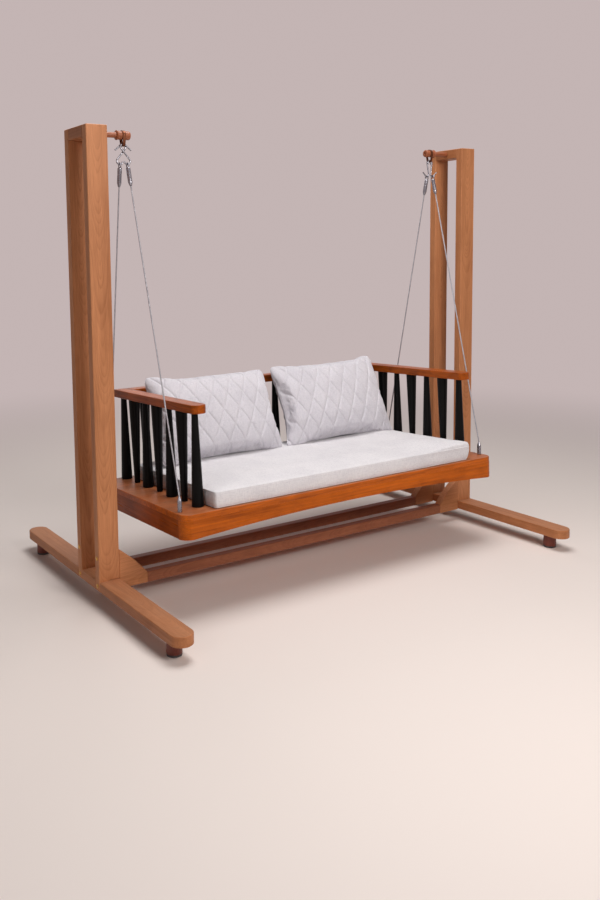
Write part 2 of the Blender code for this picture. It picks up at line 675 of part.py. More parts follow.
def make_batten():
    """A cross member that stiffens the middle of the seat board."""
    reach = SEAT_DEPTH / 2 - RAIL_THICKNESS - FIT
    half = BATTEN_WIDTH / 2
    return to_object("seat_batten", chamfer(box((-half, half), (SEAT_SHIFT - reach, SEAT_SHIFT + reach),
                                                (RAIL_TOP - BATTEN_HEIGHT, RAIL_TOP))))


def make_arm(name, side):
    """An armrest with a rounded front end that runs back to the rear corner."""
    half = ARM_WIDTH / 2
    front = side_row(0) - ARM_OVERHANG
    rear = BACK_ROW + half
    outline = arc((ARM_X - half + ARM_END_RADIUS, front + ARM_END_RADIUS), ARM_END_RADIUS, math.pi, 1.5 * math.pi)
    outline += arc((ARM_X + half - ARM_END_RADIUS, front + ARM_END_RADIUS), ARM_END_RADIUS, 1.5 * math.pi, 2 * math.pi)
    outline += [(ARM_X + half, rear), (ARM_X - half, rear)]
    arm = to_object(name, chamfer(prism(mirrored(outline, side), "XY", ARM_BOTTOM, ARM_BOTTOM + ARM_THICKNESS)))
    tops = [(side * ARM_X, side_row(k)) for k in range(SIDE_SPINDLES)]
    drill(arm, tops, SPINDLE_TENON_RADIUS + FIT, ARM_BOTTOM - FIT, ARM_BOTTOM + SPINDLE_TENON_LENGTH + FIT)
    return arm


def make_back_rail():
    """The rail between the arms, made in one with the spindles that carry it."""
    reach = ARM_X - ARM_WIDTH / 2 - FIT
    half = ARM_WIDTH / 2
    rail = to_object("back_rail", chamfer(box((-reach, reach), (BACK_ROW - half, BACK_ROW + half),
                                              (ARM_BOTTOM, ARM_BOTTOM + ARM_THICKNESS))))
    for index in range(1, BACK_SPACES):
        profile = spindle_profile(index)[:5]
        top, radius = profile[-1]
        profile += [(top + SPINDLE_TENON_LENGTH, radius), (top + SPINDLE_TENON_LENGTH, 0.0)]
        spindle = placed(turned(profile, SPINDLE_SIDES), Matrix.Translation((back_row(index), BACK_ROW, 0.0)))
        boolean(rail, to_object("spindle", spindle), "UNION")
    return rail


def cushion_top(x, y):
    """Height of the seat cushion's crowned top."""
    share = max(abs(x) / CUSHION_HALF_LENGTH, abs(y - CUSHION_MIDDLE) / CUSHION_HALF_DEPTH)
    return CUSHION_BASE + CUSHION_THICKNESS + CUSHION_CROWN * max(0.0, 1.0 - share ** 8)


def make_seat_cushion():
    """A boxed cushion: seams drawn in at both edges, swelling sides and a crowned top."""
    seam = CUSHION_BULGE
    sections = [(0.0, -2 * seam), (CUSHION_SEAM, -seam), (CUSHION_THICKNESS / 2, 0.0),
                (CUSHION_THICKNESS - CUSHION_SEAM, -seam), (CUSHION_THICKNESS, -2 * seam)]
    shares = (0.965, 0.9, 0.78, 0.5)
    bm = bmesh.new()
    rings = []
    for height, grow in sections:
        outline = rounded_rectangle(CUSHION_HALF_LENGTH + grow, CUSHION_HALF_DEPTH + grow,
                                    CUSHION_CORNER_RADIUS + grow, CUSHION_MIDDLE)
        rings.append([bm.verts.new((x, y, CUSHION_BASE + height)) for x, y in outline])
    edge = [v.co.copy() for v in rings[-1]]
    for share in shares:
        ring = []
        for point in edge:
            x = point.x * share
            y = CUSHION_MIDDLE + (point.y - CUSHION_MIDDLE) * share
            ring.append(bm.verts.new((x, y, cushion_top(x, y))))
        rings.append(ring)
    count = len(edge)
    for lower, upper in zip(rings, rings[1:]):
        for k in range(count):
            bm.faces.new((lower[k], lower[(k + 1) % count], upper[(k + 1) % count], upper[k]))
    bm.faces.new(rings[0])
    bm.faces.new(rings[-1])
    return to_object("seat_cushion", bm)


def pillow_point(u, v, front):
    """A point of a pillow's sewn cover, with drawn-in sides, softened corners and a swelling middle."""
    soft = 1 - PILLOW_EAR * (u * v) ** 6
    x = PILLOW_WIDTH / 2 * u * (1 - PILLOW_DRAW_IN * (1 - v * v)) * soft
    z = PILLOW_HEIGHT / 2 * v * (1 - PILLOW_DRAW_IN * (1 - u * u)) * soft
    swell = PILLOW_FRONT_SWELL if front else -PILLOW_BACK_SWELL
    fall = max(0.0, (1 - abs(u) ** 2.6) * (1 - abs(v) ** 2.6)) ** 0.6
    return Vector((x, -swell * fall, z))


def make_pillow(name, side):
    """A soft pillow standing on the cushion and leaning against the back rail."""
    columns, rows = 16, 12
    bm = bmesh.new()
    sheets = {}
    for front in (True, False):
        for i in range(columns + 1):
            for j in range(rows + 1):
                rim = i in (0, columns) or j in (0, rows)
                if rim and not front:
                    sheets[front, i, j] = sheets[True, i, j]
                    continue
                point = pillow_point(2 * i / columns - 1, 2 * j / rows - 1, front)
                sheets[front, i, j] = bm.verts.new(point)
        for i in range(columns):
            for j in range(rows):
                corners = [sheets[front, i, j], sheets[front, i + 1, j], sheets[front, i + 1, j + 1], sheets[front, i, j + 1]]
                bm.faces.new(corners)
    placed(bm, Matrix.Rotation(-PILLOW_LEAN, 4, "X"))
    placed(bm, Matrix.Translation((side * PILLOW_SPACING / 2, CUSHION_MIDDLE, CUSHION_BASE)))
    seat_pillow(bm)
    return to_object(name, bm)


def seat_pillow(bm):
    """Lowers the pillow so that its base flattens on the cushion and its back meets the rail or the spindles."""
    for _ in range(4):
        drop = min(v.co.z - cushion_top(v.co.x, v.co.y) for v in bm.verts) + PILLOW_SINK
        bmesh.ops.translate(bm, vec=(0.0, 0.0, -drop), verts=bm.verts)
        margin = PILLOW_HEIGHT / 12
        at_rail = [v.co.y for v in bm.verts
                   if ARM_BOTTOM - margin < v.co.z < ARM_BOTTOM + ARM_THICKNESS + margin]
        push = BACK_ROW - SPINDLE_WIDE_RADIUS - max(v.co.y for v in bm.verts)
        if at_rail:
            push = min(push, BACK_RAIL_FRONT - max(at_rail))
        bmesh.ops.translate(bm, vec=(0.0, push - FIT, 0.0), verts=bm.verts)
    for vert in bm.verts:
        vert.co.z = max(vert.co.z, cushion_top(vert.co.x, vert.co.y) + FIT)


def make_stand(materials):
    wood = materials["stand_wood"]
    for side_name, side in SIDES.items():
        finish(make_foot(side_name, side), wood)
        finish(make_block(f"{side_name}_top_block", side), wood)
        finish(make_peg(f"{side_name}_hanger_peg", side), wood, smooth=True)
        for end_name, end in ENDS.items():
            finish(make_post(f"{side_name}_{end_name}_post", side, end), wood)
            finish(make_bracket(f"{side_name}_{end_name}_bracket", side, end), wood)
            place = pad_places()[end_name]
            finish(make_pad(f"{side_name}_{end_name}_floor_pad", side, place), wood, smooth=True)
    for end_name, end in ENDS.items():
        finish(make_stretcher(f"{end_name}_stretcher", end), wood)


def make_suspension(materials, pivot):
    steel = materials["steel"]
    for side_name, side in SIDES.items():
        finish(make_strap(f"{side_name}_hanger_strap", side), materials["bronze"], pivot, smooth=True)
        for end_name, end in ENDS.items():
            finish(make_hook(f"{side_name}_{end_name}_s_hook", side, end), steel, pivot)
            finish(make_rope(f"{side_name}_{end_name}_rope", side, end), steel, pivot, smooth=True)
            finish(make_anchor(f"{side_name}_{end_name}_rope_anchor", side, end), steel, pivot, smooth=True)


def make_seat(materials, pivot):
    wood = materials["seat_wood"]
    finish(make_seat_board(), wood, pivot)
    finish(make_batten(), wood, pivot)
    for end_name, end in ENDS.items():
        finish(make_long_rail(f"seat_{end_name}_rail", end), wood, pivot)
    for side_name, side in SIDES.items():
        finish(make_side_rail(f"seat_{side_name}_rail", side), wood, pivot)
        finish(make_arm(f"{side_name}_armrest", side), wood, pivot)
        for index in range(SIDE_SPINDLES):
            name = f"{side_name}_spindle_{index + 1}"
            spindle = make_spindle(name, side * ARM_X, side_row(index), SIDE_SPINDLES - 1 - index)
            finish(spindle, materials["black_lacquer"], pivot, smooth=True)
    finish(make_back_rail(), wood, pivot)


def make_cushions(materials, pivot):
    fabric = materials["heather_fabric"]
    finish(make_seat_cushion(), fabric, pivot, smooth=True)
    for side_name, side in SIDES.items():
        finish(make_pillow(f"{side_name}_back_pillow", side), fabric, pivot, smooth=True)


def main():
    clear_scene()
    materials = make_materials()
    pivot = bpy.data.objects.new("swing_pivot", None)
    bpy.context.scene.collection.objects.link(pivot)
    pivot.location = (0.0, 0.0, PIVOT_HEIGHT)
    pivot.rotation_euler = (REST_TILT, 0.0, 0.0)
    make_stand(materials)
    make_suspension(materials, pivot)
    make_seat(materials, pivot)
    make_cushions(materials, pivot)


main()
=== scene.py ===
import functools
import math

import bmesh
import bpy
from mathutils import Matrix, Vector, noise
from mathutils.bvhtree import BVHTree


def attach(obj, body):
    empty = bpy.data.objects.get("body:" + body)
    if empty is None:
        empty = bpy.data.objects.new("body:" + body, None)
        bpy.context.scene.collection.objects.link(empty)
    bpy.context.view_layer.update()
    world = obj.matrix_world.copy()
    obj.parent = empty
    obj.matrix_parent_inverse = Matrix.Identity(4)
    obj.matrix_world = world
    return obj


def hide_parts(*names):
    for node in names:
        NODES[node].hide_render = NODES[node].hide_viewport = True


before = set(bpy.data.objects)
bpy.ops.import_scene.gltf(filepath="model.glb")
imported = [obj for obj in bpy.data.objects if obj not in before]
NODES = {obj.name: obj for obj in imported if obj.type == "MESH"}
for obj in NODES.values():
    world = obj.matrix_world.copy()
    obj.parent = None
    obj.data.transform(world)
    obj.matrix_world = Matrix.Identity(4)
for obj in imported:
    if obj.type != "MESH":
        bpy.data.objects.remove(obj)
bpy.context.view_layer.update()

SIDES = {"left": -1, "right": 1}
ENDS = {"front": -1, "rear": 1}
CORNERS = {f"{side}_{end}": (x, y) for side, x in SIDES.items() for end, y in ENDS.items()}

# The swing's own axes: origin on the pegs, leaning as it hangs at rest
PIVOT_HEIGHT = 1.858
REST_TILT = math.radians(-2.0)
SWING = Matrix.Translation((0.0, 0.0, PIVOT_HEIGHT)) @ Matrix.Rotation(REST_TILT, 4, "X")

# Sizes that the dressed pieces share with the solids, in metres
FIT = 0.0003
POST_INNER = 0.957
POST_OUTER = 1.045
POST_MIDDLE = 0.087
FOOT_CENTRE = 1.001
PAD_PLACE = 0.629
PEG_TIP = 0.146
PEG_GROOVE = 0.1155
SEAT_TOP = -1.459
ARM_BOTTOM = SEAT_TOP + 0.368
ARM_THICKNESS = 0.034
ARM_WIDTH = 0.064
ARM_X = 0.721
BACK_ROW = 0.3425
SIDE_SPINDLES = 7
SPINDLE_PITCH = 0.104
BACK_SPACES = 14
SPINDLE_WIDE = 0.0245
SPINDLE_NARROW = 0.0125
STRAP_X = 0.8415
STRAP_WIDTH = 0.012
STRAP_THICKNESS = 0.0035
STRAP_UPPER_BEND = 0.0164
STRAP_LOWER_BEND = 0.011
STRAP_DROP = 0.0435 - STRAP_THICKNESS - STRAP_LOWER_BEND
HOOK_WIRE = 0.0033
HOOK_BEND = 0.0125
HOOK_SPACING = 0.058
HOOK_LEAN = math.radians(15.0)
HOOK_SIDE = 0.0041
EYE_RADIUS = 0.0095
EYE_WIRE = 0.0026
SLEEVE_RADIUS = 0.009
SLEEVE_LENGTH = 0.078
ROPE_RADIUS = 0.003
ANCHOR_X = 0.8185
ANCHOR_Y = 0.312
ANCHOR_TIP = 0.060
CUSHION_HALF_LENGTH = 0.6925
CUSHION_HALF_DEPTH = 0.3395
CUSHION_HEIGHT = 0.064
CUSHION_MIDDLE = -0.0255
CUSHION_CROWN = 0.016
CUSHION_BASE = SEAT_TOP + FIT
PILLOW_SPACING = 0.6765
PILLOW_LEAN = math.radians(23.0)

# Details that only the dressed pieces have
SHARP_ANGLE = math.radians(32.0)
SPINDLE_SHOULDER = 0.0022
BOLT_HEIGHTS = (0.193, 0.081)
BOLT_HEAD = 0.0078
WASHER = 0.0016
HOOK_TAILS = {-1: (math.radians(152.0), 0.032), 1: (math.radians(128.0), 0.022)}
HOOK_END = math.radians(375.0)
TAIL_FLARE = 0.003
STRANDS = 12
STRAND_RADIUS = 0.00062
ROPE_LAY = 0.030
CORE_RADIUS = 0.0026
COVER_SLACK = 0.003
COVER_CORNER = 0.010
WELT_CORNER = 0.018
COVER_WIDTH = 0.662
COVER_HEIGHT = 0.446
# For each pulled corner of a pillow: side, height, where the pull starts, and its X and Z
CORNER_PULLS = {"left": ((1, 1, 0.2, 0.0, -0.013), (1, -1, 0.7, 0.006, 0.0)),
                "right": ((-1, 1, 0.2, 0.0, -0.009), (-1, -1, 0.7, -0.022, 0.0), (1, -1, 0.7, 0.016, 0.0))}
QUILT_WIDTH = 0.085
QUILT_HEIGHT = 0.147
QUILT_WANDER = 0.006
WELT_STEP = 0.006
CUSHION_WELT = 0.0021
PILLOW_WELT = 0.0019
SEWING = {"Pitch": 0.0075, "Stitch": 0.0052, "Thread Radius": 0.0006}

# The photograph's frame in pixels, and the camera that fits it
IMAGE_WIDTH, IMAGE_HEIGHT = 600.0, 900.0
FOCAL, CENTRE_ACROSS, CENTRE_DOWN = 884.13, 214.02, 339.73
YAW, PITCH, ROLL = (math.radians(angle) for angle in (-31.61, -5.74, -0.95))
CAMERA_PLACE = (-2.4164, -3.2266, 1.3966)
SENSOR_HEIGHT = 36.0
BACKDROP = (0.55, 0.46, 0.455, 1.0)


def tint(red, green, blue):
    """A colour as seen on a screen, 0 to 255, made linear."""
    shares = []
    for level in (red, green, blue):
        level /= 255.0
        shares.append(level / 12.92 if level <= 0.04045 else ((level + 0.055) / 1.055) ** 2.4)
    return (*shares, 1.0)


# Pale grey-brown for faces that look up: dust, together with a painted sheen of light on the tops.
DUST_AND_SHEEN = tint(164, 130, 108)


# Node helpers

def feed(tree, socket, source):
    """Links a source socket, or sets a plain value."""
    if isinstance(source, bpy.types.NodeSocket):
        tree.links.new(source, socket)
    else:
        socket.default_value = source


def add(tree, kind, inputs=None, **settings):
    """A new node with its settings and what goes into its sockets."""
    node = tree.nodes.new(kind)
    for key, value in settings.items():
        setattr(node, key, value)
    for socket, source in (inputs or {}).items():
        feed(tree, node.inputs[socket], source)
    return node


def blend_colours(tree, share, first, second):
    return add(tree, "ShaderNodeMix", {0: share, 6: first, 7: second}, data_type="RGBA").outputs[2]


def sum_up(tree, way, first, second=0.0):
    return add(tree, "ShaderNodeMath", {0: first, 1: second}, operation=way).outputs[0]


def remap(tree, value, low, high, new_low=0.0, new_high=1.0):
    return add(tree, "ShaderNodeMapRange", {0: value, 1: low, 2: high, 3: new_low, 4: new_high}).outputs[0]


def arithmetic(tree):
    """Short forms in one tree: a sum, a difference, a product and a change of range."""
    ways = [functools.partial(sum_up, tree, way) for way in ("ADD", "SUBTRACT", "MULTIPLY")]
    return (*ways, functools.partial(remap, tree))


def stretched(tree, vector, scale, turn=(0.0, 0.0, 0.0)):
    return add(tree, "ShaderNodeMapping", {"Vector": vector, "Scale": scale, "Rotation": turn}).outputs["Vector"]


def speckle(tree, vector, scale, detail=4.0, roughness=0.55):
    inputs = {"Vector": vector, "Scale": scale, "Detail": detail, "Roughness": roughness}
    return add(tree, "ShaderNodeTexNoise", inputs).outputs["Fac"]


def ripple(tree, vector, scale, direction):
    inputs = {"Vector": vector, "Scale": scale, "Distortion": 0.6, "Detail": 1.0}
    return add(tree, "ShaderNodeTexWave", inputs, wave_type="BANDS", bands_direction=direction).outputs["Fac"]


def shader_group(name, **inputs):
    """A shader group that takes a Vector and the named inputs, and puts out what a surface needs."""
    group = bpy.data.node_groups.new(name, "ShaderNodeTree")
    group.interface.new_socket("Vector", in_out="INPUT", socket_type="NodeSocketVector")
    for label, value in inputs.items():
        kind = "NodeSocketFloat" if isinstance(value, float) else "NodeSocketColor"
        group.interface.new_socket(label, in_out="INPUT", socket_type=kind).default_value = value
    for label, kind in (("Color", "NodeSocketColor"), ("Roughness", "NodeSocketFloat"), ("Height", "NodeSocketFloat")):
        group.interface.new_socket(label, in_out="OUTPUT", socket_type=kind)
    return group, group.nodes.new("NodeGroupInput").outputs, group.nodes.new("NodeGroupOutput").inputs


def put_out(tree, result, **sources):
    for label, source in sources.items():
        feed(tree, result[label], source)


def wood_figure():
    """Flat-sawn figure: growth rings about a pith that wanders along the board, with fibres and pores.

    The vector's X runs along the grain, Y across the board and Z through it. Centre is the board's middle
    in Y, Depth sets how far the pith lies from the face, and Ring is the width of a growth ring. Age darkens
    it in streaks and patches, and Dust pales and dulls the faces that look up: partly dust, and
    partly a painted sheen, the glare that the tops catch painted into their colour.
    """
    group, given, result = shader_group(
        "wood figure", Pale=(0.5, 0.3, 0.2, 1.0), Dark=(0.2, 0.1, 0.05, 1.0), Centre=0.0, Depth=0.05, Ring=0.005,
        Figure=0.5, Gloss=0.4, Age=0.2, Dust=0.0)
    plus, less, times, span = arithmetic(group)
    vector = given["Vector"]

    def grain(stretch, detail, roughness=0.55, scale=1.0):
        return speckle(group, stretched(group, vector, stretch), scale, detail, roughness)

    wander = grain((1.0, 2.6, 2.6), 2.0)
    waver = grain((5.0, 26.0, 26.0), 3.0)
    drift = grain((0.8, 7.0, 7.0), 3.0, scale=1.7)
    fibre = grain((5.0, 190.0, 190.0), 5.0, 0.65)
    streaks = grain((2.4, 75.0, 75.0), 4.0, 0.6)
    patches = grain((0.6, 1.0, 1.0), 5.0, 0.62, 14.0)
    pores = span(grain((16.0, 620.0, 620.0), 2.0), 0.6, 0.74)

    # Distance from the pith, and the share of late wood within a growth ring
    along = add(group, "ShaderNodeSeparateXYZ", {0: vector}).outputs
    across = less(sum_up(group, "ABSOLUTE", along["Y"]), given["Centre"])
    across = plus(across, span(waver, 0.2, 0.8, -0.003, 0.003))
    deep = plus(sum_up(group, "ABSOLUTE", along["Z"]), given["Depth"])
    deep = plus(deep, times(along["X"], -0.05))
    deep = plus(deep, span(wander, 0.25, 0.75, -0.018, 0.018))
    reach = sum_up(group, "SQRT", plus(times(across, across), times(deep, deep)))
    growth = speckle(group, add(group, "ShaderNodeCombineXYZ", {"X": reach}).outputs[0], 75.0, 2.0)
    reach = plus(reach, span(growth, 0.3, 0.7, -0.0035, 0.0035))
    ring = sum_up(group, "FRACT", sum_up(group, "DIVIDE", reach, given["Ring"]))
    rise = span(ring, 0.15, 0.86)
    late = sum_up(group, "MINIMUM", times(rise, rise), span(ring, 0.86, 1.0, 1.0, 0.0))
    late = times(late, span(waver, 0.25, 0.7, 0.55, 1.0))
    late = times(late, span(growth, 0.3, 0.7, 0.45, 1.15))

    tone = plus(times(late, given["Figure"]), span(drift, 0.3, 0.7, 0.0, 0.42))
    tone = plus(tone, span(fibre, 0.3, 0.7, -0.12, 0.2))
    aged = plus(span(streaks, 0.3, 0.7, -0.3, 0.5), span(patches, 0.46, 0.72, 0.0, 0.7))
    tone = plus(tone, times(aged, given["Age"]))
    colour = blend_colours(group, span(tone, 0.0, 1.1), given["Pale"], given["Dark"])
    colour = blend_colours(group, times(pores, 0.3), colour, given["Dark"])

    # Faces that look up are paled towards this grey: partly dust, partly a painted sheen where the tops catch the
    # light.
    facing = add(group, "ShaderNodeSeparateXYZ", {0: add(group, "ShaderNodeTexCoord").outputs["Normal"]}).outputs
    dust_sheen_share = times(span(facing["Z"], 0.7, 0.97), given["Dust"])
    dust_sheen_share = times(dust_sheen_share, span(patches, 0.3, 0.6, 1.0, 0.45))
    rough = plus(given["Gloss"], span(fibre, 0.3, 0.7, -0.05, 0.08))
    put_out(group, result, Color=blend_colours(group, dust_sheen_share, colour, DUST_AND_SHEEN), Roughness=plus(rough, times(dust_sheen_share, 0.3)),
            Height=less(span(fibre, 0.2, 0.8, 0.0, 0.35), times(pores, 0.6)))
    return group


def heather_weave():
    """Crossing threads with slubs and pale flecks."""
    group, given, result = shader_group(
        "heather weave", Pale=(0.8, 0.8, 0.8, 1.0), Fleck=(0.6, 0.6, 0.6, 1.0), Threads=500.0)
    plus, _, times, span = arithmetic(group)
    vector = given["Vector"]
    threads = add(group, "ShaderNodeVectorMath", {0: vector, "Scale": given["Threads"]}, operation="SCALE").outputs[0]
    turned = stretched(group, threads, (1.0, 1.0, 1.0), (math.radians(45.0), 0.0, 0.0))
    warp = ripple(group, threads, 0.31, "X")
    weft = ripple(group, turned, 0.44, "Y")
    cross = times(plus(warp, 0.25), plus(weft, 0.25))
    slub_across = speckle(group, stretched(group, vector, (60.0, 700.0, 700.0)), 1.0, 3.0)
    slub_along = speckle(group, stretched(group, vector, (700.0, 60.0, 60.0)), 1.0, 3.0)
    slubs = plus(span(slub_across, 0.45, 0.75), span(slub_along, 0.45, 0.75))
    cloud = speckle(group, vector, 9.0, 3.0)
    share = plus(times(slubs, 0.4), span(cloud, 0.35, 0.7, 0.0, 0.18))
    share = plus(share, span(cross, 0.2, 1.2, 0.18, -0.05))
    put_out(group, result, Color=blend_colours(group, share, given["Pale"], given["Fleck"]),
            Roughness=span(slubs, 0.0, 1.0, 0.94, 0.82), Height=plus(cross, times(slubs, 0.7)))
    return group


def handled_metal():
    """Fine polishing lines, dull patches and a little tarnish."""
    group, given, result = shader_group(
        "handled metal", Clean=(0.7, 0.7, 0.7, 1.0), Tarnish=(0.4, 0.4, 0.4, 1.0), Polish=0.2)
    plus, _, _, span = arithmetic(group)
    vector = given["Vector"]
    patches = speckle(group, vector, 70.0, 4.0)
    lines = speckle(group, stretched(group, vector, (900.0, 900.0, 60.0)), 1.0, 2.0)
    share = span(patches, 0.45, 0.72, 0.0, 0.55)
    rough = plus(given["Polish"], span(patches, 0.3, 0.7, -0.05, 0.12))
    put_out(group, result, Color=blend_colours(group, share, given["Clean"], given["Tarnish"]),
            Roughness=plus(rough, span(lines, 0.3, 0.7, -0.02, 0.05)), Height=lines)
    return group


WOOD = wood_figure()
WEAVE = heather_weave()
METAL = handled_metal()

# Turns that bring a member's length to X, its width to Y and its thickness to Z
QUARTER = math.pi / 2
POST_TURN = (QUARTER, 0.0, QUARTER)
FOOT_TURN = (0.0, 0.0, -QUARTER)
RAIL_TURN = (QUARTER, 0.0, 0.0)
END_RAIL_TURN = (-QUARTER, -QUARTER, 0.0)
BOARD_TURN = (0.0, 0.0, 0.0)


def finished_surface(name, group, values, bump, bump_distance, finish, turn=BOARD_TURN):
    """A Principled material whose colour, roughness and bump come from one of the groups."""
    material = bpy.data.materials.new(name)
    material.use_nodes = True
    tree = material.node_tree
    place = add(tree, "ShaderNodeTexCoord").outputs["Object"]
    vector = stretched(tree, place, (1.0, 1.0, 1.0), turn)
    effect = add(tree, "ShaderNodeGroup", {"Vector": vector, **values}, node_tree=group).outputs
    relief = add(tree, "ShaderNodeBump", {"Strength": bump, "Distance": bump_distance, "Height": effect["Height"]})
    sources = {"Base Color": effect["Color"], "Roughness": effect["Roughness"], "Normal": relief.outputs["Normal"]}
    for socket, source in {**sources, **finish}.items():
        feed(tree, tree.nodes["Principled BSDF"].inputs[socket], source)
    return material


def wood(name, turn, centre, depth, pale, dark, ring, figure, gloss, shine, age=0.2, dust_and_sheen=0.0):
    values = {"Pale": pale, "Dark": dark, "Centre": centre, "Depth": depth, "Ring": ring, "Figure": figure,
              "Gloss": gloss, "Age": age, "Dust": dust_and_sheen}
    return finished_surface(name, WOOD, values, 0.3, 0.0004, {"Specular IOR Level": shine}, turn)


def metal(name, clean, tarnish, polish):
    values = {"Clean": clean, "Tarnish": tarnish, "Polish": polish}
    return finished_surface(name, METAL, values, 0.15, 0.0001, {"Metallic": 1.0})


def rubber(name, clean, worn, polish):
    return finished_surface(name, METAL, {"Clean": clean, "Tarnish": worn, "Polish": polish}, 0.2, 0.0003, {})


def cloth(name, pale, fleck, threads):
    values = {"Pale": pale, "Fleck": fleck, "Threads": threads}
    return finished_surface(name, WEAVE, values, 0.45, 0.0006, {"Sheen Weight": 0.25, "Sheen Roughness": 0.5})


STAND_TONES = dict(pale=tint(204, 138, 94), dark=tint(136, 80, 46), ring=0.0026, figure=0.32, gloss=0.46, shine=0.2)
# The feet's pale tops: dust together with a painted sheen.
FOOT_TONES = dict(STAND_TONES, pale=tint(190, 126, 84), age=0.35, dust_and_sheen=0.3)
# Stretchers a darker brown: painted shade, for the shade under the seat where they sit.
SHADED_STRETCHER_TONES = dict(STAND_TONES, pale=tint(172, 108, 78), dark=tint(106, 60, 40))
SEAT_TONES = dict(pale=tint(206, 102, 20), dark=tint(104, 42, 6), ring=0.0030, figure=0.34, gloss=0.30, shine=0.14,
                  age=0.45)
# The seat panel's pale top: dust together with a painted sheen.
PANEL_TONES = dict(SEAT_TONES, shine=0.2, dust_and_sheen=0.55)
# The end rails get a darker copy of the seat wood: painted shade for their shaded outer sides.
SHADED_END_RAIL_TONES = dict(SEAT_TONES, pale=tint(180, 84, 16), dark=tint(88, 34, 6))
ARM_TONES = dict(SEAT_TONES, pale=tint(182, 88, 22), dark=tint(80, 32, 6), figure=0.42, age=0.65)
PEG_TONES = dict(pale=tint(166, 96, 62), dark=tint(104, 54, 32), ring=0.0026, figure=0.36, gloss=0.4, shine=0.35)
PAD_TONES = dict(pale=tint(128, 62, 48), dark=tint(84, 38, 30), ring=0.0026, figure=0.4, gloss=0.42, shine=0.35)
LACQUER_TONES = dict(pale=tint(10, 9, 9), dark=tint(4, 4, 4), ring=0.006, figure=0.3, gloss=0.34, shine=0.12)

POST_WOOD = wood("post wood", POST_TURN, FOOT_CENTRE, 0.03, **STAND_TONES)
FOOT_WOOD = wood("foot wood", FOOT_TURN, FOOT_CENTRE, -0.04, **FOOT_TONES)
SHADED_STRETCHER_WOOD = wood("stretcher wood with painted shade", RAIL_TURN, 0.079, -0.03, **SHADED_STRETCHER_TONES)
BRACKET_WOOD = wood("bracket wood", RAIL_TURN, 0.079, -0.03, **STAND_TONES)
TURNED_WOOD = wood("turned peg wood", BOARD_TURN, 0.02, -1.8, **PEG_TONES)
PAD_WOOD = wood("floor pad wood", POST_TURN, FOOT_CENTRE, -0.55, **PAD_TONES)
PANEL_WOOD = wood("seat panel wood", BOARD_TURN, 0.19, -0.33, **PANEL_TONES)
LONG_RAIL_WOOD = wood("long rail wood", RAIL_TURN, 0.14, -0.36, **SEAT_TONES)
SHADED_END_RAIL_WOOD = wood("end rail wood with painted shade", END_RAIL_TURN, 0.14, -0.80, **SHADED_END_RAIL_TONES)
ARM_WOOD = wood("armrest wood", FOOT_TURN, 0.56, -0.77, **ARM_TONES)
BACK_RAIL_WOOD = wood("back rail wood", BOARD_TURN, 0.2, -0.77, **ARM_TONES)
BLACK_LACQUER = wood("black lacquered wood", POST_TURN, 0.0, 0.0, **LACQUER_TONES)
POLISHED_STEEL = metal("polished steel", tint(154, 154, 161), tint(116, 116, 124), 0.22)
ROPE_STEEL = metal("rope steel", tint(178, 178, 183), tint(156, 156, 162), 0.5)
BRONZE = metal("dark bronze", tint(112, 70, 50), tint(66, 38, 26), 0.44)
BRASS = metal("dome brass", tint(214, 170, 96), tint(150, 104, 52), 0.22)
RUBBER = rubber("grey glide", tint(70, 66, 66), tint(48, 45, 45), 0.6)
SEAT_CLOTH = cloth("seat cushion cloth", tint(237, 234, 236), tint(188, 184, 192), 700.0)
PILLOW_CLOTH = cloth("pillow cloth", tint(222, 218, 224), tint(174, 170, 180), 620.0)
THREAD = cloth("sewing thread", tint(214, 211, 214), tint(188, 184, 190), 2400.0)


# Mesh helpers

def put_in(name, data):
    item = bpy.data.objects.new(name, data)
    bpy.context.scene.collection.objects.link(item)
    return item


def coat(mesh, material):
    mesh.materials.clear()
    mesh.materials.append(material)


def finish_mesh(mesh, material):
    """Gives a mesh its material and smooth shading, with its real edges left sharp."""
    coat(mesh, material)
    mesh.shade_smooth()
    mesh.set_sharp_from_angle(angle=SHARP_ANGLE)


def piece_from(name, bm, material):
    bmesh.ops.recalc_face_normals(bm, faces=bm.faces)
    if bm.calc_volume(signed=True) < 0:
        bmesh.ops.reverse_faces(bm, faces=bm.faces)
    mesh = bpy.data.meshes.new(name)
    bm.to_mesh(mesh)
    bm.free()
    finish_mesh(mesh, material)
    return put_in(name, mesh)


def baked(piece):
    """The evaluated form of a piece as its own plain mesh."""
    bpy.context.view_layer.update()
    graph = bpy.context.evaluated_depsgraph_get()
    mesh = bpy.data.meshes.new_from_object(piece.evaluated_get(graph), preserve_all_data_layers=True, depsgraph=graph)
    piece.modifiers.clear()
    piece.data = mesh
    return piece


def lathe(profile, sides=48):
    """A turned form about Z from (height, radius) pairs that start and end on the axis."""
    bm = bmesh.new()
    line = [bm.verts.new((radius, 0.0, height)) for height, radius in profile]
    for lower, upper in zip(line, line[1:]):
        bm.edges.new((lower, upper))
    bmesh.ops.spin(bm, geom=bm.verts[:] + bm.edges[:], axis=(0, 0, 1), cent=(0, 0, 0),
                   angle=2 * math.pi, steps=sides, use_merge=True)
    bmesh.ops.remove_doubles(bm, verts=bm.verts, dist=1e-6)
    return bm


def placed(bm, matrix):
    bmesh.ops.transform(bm, matrix=matrix, verts=bm.verts)
    return bm


def arc(centre, radius, start, end, steps):
    points = []
    for step in range(steps + 1):
        angle = start + (end - start) * step / steps
        points.append((centre[0] + radius * math.cos(angle), centre[1] + radius * math.sin(angle)))
    return points


def join_rings(bm, lower, upper):
    """Closes the band between two rings of points."""
    count = len(lower)
    for k in range(count):
        bm.faces.new((lower[k], lower[(k + 1) % count], upper[(k + 1) % count], upper[k]))


def stand_in(piece, body, slot, *nodes):
    """Lets a dressed piece ride on its body, in place of the named solids."""
    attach(piece, body)
    if nodes:
        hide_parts(*nodes)
    return piece


# Geometry node helpers

